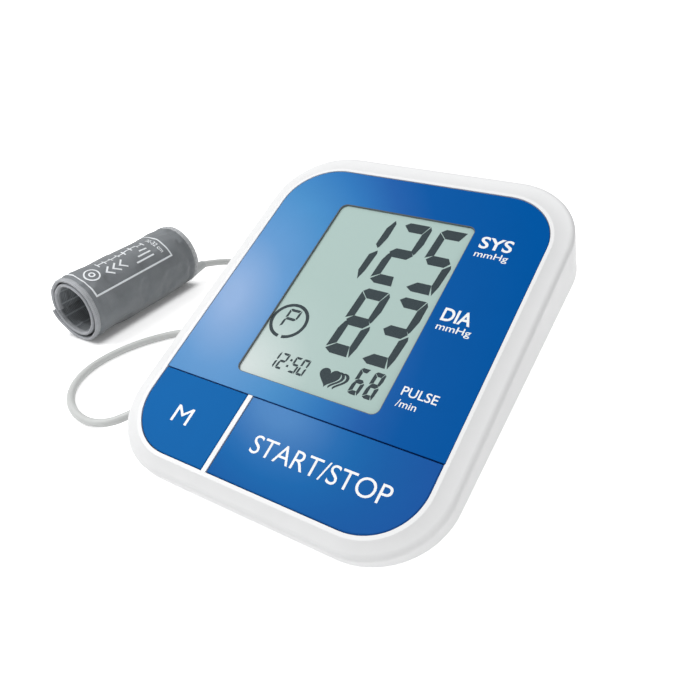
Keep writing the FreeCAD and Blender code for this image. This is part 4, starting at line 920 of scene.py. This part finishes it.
def binding(name, made, near):
    """The tape folded over one end of the roll."""
    y0 = 0.0 if near else CUFF_LONG - TAPE_WIDE
    rows = [y0 + TAPE_WIDE * (0.5 - 0.5 * math.cos(math.pi * j / TAPE_ROWS))
            for j in range(TAPE_ROWS + 1)]

    def fold(s, y):
        """The tape's rounded outer edge and its pressed, slightly wavy inner edge."""
        out = y if near else CUFF_LONG - y
        short = 1 - min(1.0, out / TAPE_ROUND)
        rounding = TAPE_THICK / 2 * (1 - math.sqrt(max(0.0, 1 - short ** 2)))
        pressed = TAPE_PRESSED * smooth_step(TAPE_WIDE - PRESSED_WIDE, TAPE_WIDE, out)
        ripple = TAPE_RIPPLE * noise.noise((s * RIPPLE_WAVES, out, 8.0 if near else 4.0))
        return min(TAPE_THICK / 2 - TAPE_HALF_LEAST, rounding + pressed + ripple + TAPE_SKIN)

    obj = roll_strip(name, rows, fold, lambda s, y: TAPE_THICK - fold(s, y), (made,))
    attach(obj, "monitor")
    return obj


bindings = [binding("cuff_binding_near", tape, True),
            binding("cuff_binding_far", far_tape_painted_lighter, False)]
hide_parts("cuff_bindings")

STITCH_LONG, STITCH_PITCH, STITCH_THICK = 1.5, 2.4, 0.16
STITCH_TURNS, STITCH_RINGS, STITCH_SIDES = 2.0, 6, 6
STITCH_LEAST_Z, STITCH_INSET = 0.02, 0.55
STITCH_SUNK, STITCH_ARCH, STITCH_TIP = 0.14, 0.16, 0.35


def stitch_row(name, y):
    """A row of sewn stitches round the outside of the roll, as small capsules of thread."""
    verts, faces = [], []
    circumference = STITCH_TURNS * math.pi * (CUFF_R - PITCH / 2)
    rings, sides = STITCH_RINGS, STITCH_SIDES
    for index in range(int(circumference / STITCH_PITCH)):
        first = index * STITCH_PITCH / circumference * STITCH_TURNS
        base = len(verts)
        for r in range(rings + 1):
            share = r / rings
            s = first + STITCH_LONG * share / circumference * STITCH_TURNS
            arch = math.sin(math.pi * share)
            spot = roll_point(s, STITCH_SUNK - STITCH_ARCH * arch, y)
            out = (spot - Vector((CUFF_X * MM, spot.y, CUFF_Z * MM))).normalized()
            wide = STITCH_THICK * (STITCH_TIP + (1 - STITCH_TIP) * math.sqrt(max(0.0, arch)))
            for k in range(sides):
                a = 2 * math.pi * k / sides
                corner = spot + (out * math.sin(a) + Vector((0, 1, 0)) * math.cos(a)) * wide * MM
                corner.z = max(corner.z, STITCH_LEAST_Z * MM)
                verts.append(corner)
        for r in range(rings):
            for k in range(sides):
                a, b = base + r * sides + k, base + r * sides + (k + 1) % sides
                faces.append([a, b, b + sides, a + sides])
        faces.append([base + k for k in range(sides)][::-1])
        faces.append([base + rings * sides + k for k in range(sides)])
    obj = mesh_object(name, verts, faces)
    dress(obj, thread)
    return obj


thread = moulded("sewing_thread", (0.42, 0.44, 0.46), 0.7, vary=0.08, grain=4000, bump=0.2)
stitches = [stitch_row("cuff_stitches_near", TAPE_WIDE - STITCH_INSET),
            stitch_row("cuff_stitches_far", CUFF_LONG - TAPE_WIDE + STITCH_INSET)]


# ---------------------------------------------------------------- cuff print

wrap_tree = BVHTree.FromPolygons([v.co for v in wrap.data.vertices],
                                 [p.vertices for p in wrap.data.polygons])
PRINT_R, PRINT_LIFT, RAY_START = 15.5, 0.13, 30.0
STROKE_STEP, SHARPEST_MITRE = 0.8, 0.5


def on_cuff(u, y):
    """The point of the wrap's outside at u mm round from its right-hand side and y along."""
    angle = u / PRINT_R
    way = Vector((math.cos(angle), 0, math.sin(angle)))
    axis = Vector((CUFF_X, CUFF_FRONT + y, CUFF_Z)) * MM
    spot = wrap_tree.ray_cast(axis + way * RAY_START * MM, -way)[0]
    return spot + way * PRINT_LIFT * MM


def strokes(name, lines, wide):
    """Printed lines on the cuff, each a list of (u, y) corners, with mitred joints."""
    verts, faces = [], []
    for line in lines:
        path = [Vector(line[0])]
        for start, end in zip(line, line[1:]):
            parts = max(1, round((Vector(end) - Vector(start)).length / STROKE_STEP))
            path += [Vector(start).lerp(Vector(end), k / parts) for k in range(1, parts + 1)]
        base = len(verts)
        for index, point in enumerate(path):
            before = (point - path[index - 1]).normalized() if index else None
            after = (path[index + 1] - point).normalized() if index < len(path) - 1 else None
            if line[0] == line[-1]:
                before = before or (path[-1] - path[-2]).normalized()
                after = after or (path[1] - path[0]).normalized()
            way = ((before or after) + (after or before)).normalized()
            side = Vector((-way.y, way.x))
            stretch = 1 / max(SHARPEST_MITRE, abs(way.dot(before or after)))
            for sign in (-1, 1):
                verts.append(on_cuff(*(point + side * sign * stretch * wide / 2)))
        for k in range(len(path) - 1):
            a = base + 2 * k
            faces.append([a, a + 1, a + 3, a + 2])
    dress(mesh_object(name, verts, faces, smooth=False), cuff_ink)


def round_by(degrees):
    """Millimetres round the cuff from its right-hand side."""
    return math.radians(degrees) * PRINT_R


cuff_ink = moulded("cuff_ink", (0.90, 0.93, 0.96), 0.55, vary=0.03, grain=3000, bump=0.25)
FRAME_LOW, FRAME_HIGH = round_by(30), round_by(150)
NEAR_LINE, FAR_LINE = 4.9, 52.3
strokes("cuff_print_frame",
        [[(FRAME_LOW, NEAR_LINE), (FRAME_LOW, FAR_LINE), (FRAME_HIGH, FAR_LINE),
          (FRAME_HIGH, NEAR_LINE), (FRAME_LOW, NEAR_LINE)]], 0.85)
scale_side, tick = round_by(79), 1.7
scale_ys = [17.0 + 4.0 * k for k in range(8)]
scale_marks = [[(scale_side, scale_ys[0]), (scale_side, scale_ys[-1])]]
scale_marks += [[(scale_side - tick, y), (scale_side + tick, y)] for y in scale_ys]
strokes("cuff_print_scale", scale_marks, 0.7)
arrow_side = round_by(57)
strokes("cuff_print_arrows",
        [[(arrow_side - 2.4, y + 3.0), (arrow_side, y), (arrow_side + 2.4, y + 3.0)]
         for y in scale_ys[:3]], 0.85)
ring_side, ring_y = round_by(66), 10.6
strokes("cuff_print_ring",
        [[(ring_side + r * math.cos(a), ring_y + r * math.sin(a))
          for a in [2 * math.pi * k / 28 for k in range(28)] + [0.0]] for r in (3.4, 1.2)], 0.75)
bar_side = round_by(46)
strokes("cuff_print_bars", [[(bar_side + step, start), (bar_side + step, 44.0)]
                            for step, start in ((0.0, 33.0), (2.4, 36.0), (4.8, 39.0))], 0.85)
size_side, size_y, SIZE_WIDE, SIZE_TALL = round_by(83), 48.0, 2.95, 3.3
lettering("cuff_print_size", "22-32 cm",
          lambda x, y: on_cuff(size_side - x * SIZE_WIDE, size_y + y * SIZE_TALL), cuff_ink,
          weight=0.02)


# ---------------------------------------------------------------- floor, light and world

PLAIN_WHITE, FLOOR_WHITE = (1, 1, 1, 1), (0.89, 0.89, 0.89, 1)
SKY_STRENGTH = 0.36
FLOOR_REACH = 3000.0
# Seen from above, where the cuff meets the table, and how far the painted contact shadow reaches
# from there.
CONTACT_MIDDLE, CONTACT_HALF, PAINTED_SHADOW_WIDE = (-147.0, 30.0), (8.0, 32.0), 5.8
# The floor glows less round this point, so the lamps' shadows of cuff and hose show there; the
# stronger glow further off is painted light that hides the monitor's shadow. Right under the
# cuff the glow keeps only the last share below, a painted contact shadow.
DIM_MIDDLE, DIM_REACH = Vector((-125.0, 20.0, 0.0)), 220.0
GLOW, DIM_GLOW, CONTACT_SHADOW_SHARE = 0.8, 0.62, 0.1


def floor_with_painted_shadow():
    """White paint whose glow the camera, gloss and clear pieces see.

    No diffuse ray meets the glow, so it lights nothing. It is stronger away from the cuff and
    hose, painted light that hides the monitor's shadow, and weakest where the cuff touches the
    table, a painted contact shadow.
    """
    made, bsdf, net = shader("floor_with_painted_shadow")
    net.fill(bsdf, Base_Color=FLOOR_WHITE, Roughness=0.9, Specular_IOR_Level=0.1)
    rays = net.add("LightPath").outputs
    seen = net.steps(rays["Is Camera Ray"], ("MAXIMUM", rays["Is Glossy Ray"]),
                     ("MAXIMUM", rays["Is Transmission Ray"]))
    # Painted light: the glow is stronger away from the cuff and hose and whitens out the
    # monitor's shadow.
    near = net.bloom(DIM_MIDDLE * MM, (DIM_REACH,) * 3)
    level = net.spread(near, GLOW, DIM_GLOW, 0.2, 0.6)
    # Painted contact shadow: the glow drops to a small share where the cuff touches the table.
    painted_shadow_mask = net.spread(net.outside(net.place(), CONTACT_MIDDLE, CONTACT_HALF), CONTACT_SHADOW_SHARE,
                       1.0, 0.0, PAINTED_SHADOW_WIDE * MM, interpolation_type="SMOOTHSTEP")
    glow = net.add("Emission", Strength=net.steps(level, ("MULTIPLY", painted_shadow_mask),
                                                  ("MULTIPLY", seen)))
    both = net.add("AddShader")
    net.put(bsdf.outputs["BSDF"], both.inputs[0])
    net.put(glow.outputs["Emission"], both.inputs[1])
    net.put(both.outputs["Shader"], net.tree.nodes["Material Output"].inputs["Surface"])
    made.cycles.emission_sampling = "NONE"
    return made


floor_mesh = bpy.data.meshes.new("floor")
floor_mesh.from_pydata([Vector((x, y, 0)) * FLOOR_REACH * MM
                        for x, y in ((-1, -1), (1, -1), (1, 1), (-1, 1))], [], [(0, 1, 2, 3)])
floor_mesh.materials.append(floor_with_painted_shadow())
floor = bpy.data.objects.new("floor", floor_mesh)
bpy.context.scene.collection.objects.link(floor)


def studio():
    """A dim even sky that lights the scene; the camera and clear pieces see plain white."""
    world = bpy.data.worlds.new("studio")
    world.use_nodes = True
    net = Net(world.node_tree)
    sky = net.fill(net.tree.nodes["Background"], Color=PLAIN_WHITE, Strength=SKY_STRENGTH)
    open_sky = net.add("Background", Color=PLAIN_WHITE, Strength=1.0)
    rays = net.add("LightPath").outputs
    mixed = net.add("MixShader", Fac=net.steps(rays["Is Camera Ray"],
                                               ("MAXIMUM", rays["Is Transmission Ray"])))
    net.put(sky.outputs["Background"], mixed.inputs[1])
    net.put(open_sky.outputs["Background"], mixed.inputs[2])
    net.put(mixed.outputs["Shader"], net.tree.nodes["World Output"].inputs["Surface"])
    return world


bpy.context.scene.world = studio()


def softbox(name, place, aim, wide, tall, watts):
    """A rectangular lamp, in metres, that faces a point."""
    data = bpy.data.lights.new(name, "AREA")
    data.shape = "RECTANGLE"
    data.size = wide
    data.size_y = tall
    data.energy = watts
    obj = bpy.data.objects.new(name, data)
    bpy.context.scene.collection.objects.link(obj)
    way = (Vector(aim) - Vector(place)).to_track_quat("-Z", "Y")
    obj.matrix_world = Matrix.Translation(place) @ way.to_matrix().to_4x4()


softbox("key_light", (-0.6, -0.24, 0.82), (0, 0, 0.03), 0.6, 0.6, 6.1)
softbox("fill_light", (1.0, -0.4, 0.26), (0, 0, 0.03), 0.6, 0.45, 2.0)
softbox("top_light", (-0.3, 0.35, 0.9), (0, 0, 0.02), 0.8, 0.8, 1.75)

bpy.context.scene.view_settings.view_transform = "Standard"
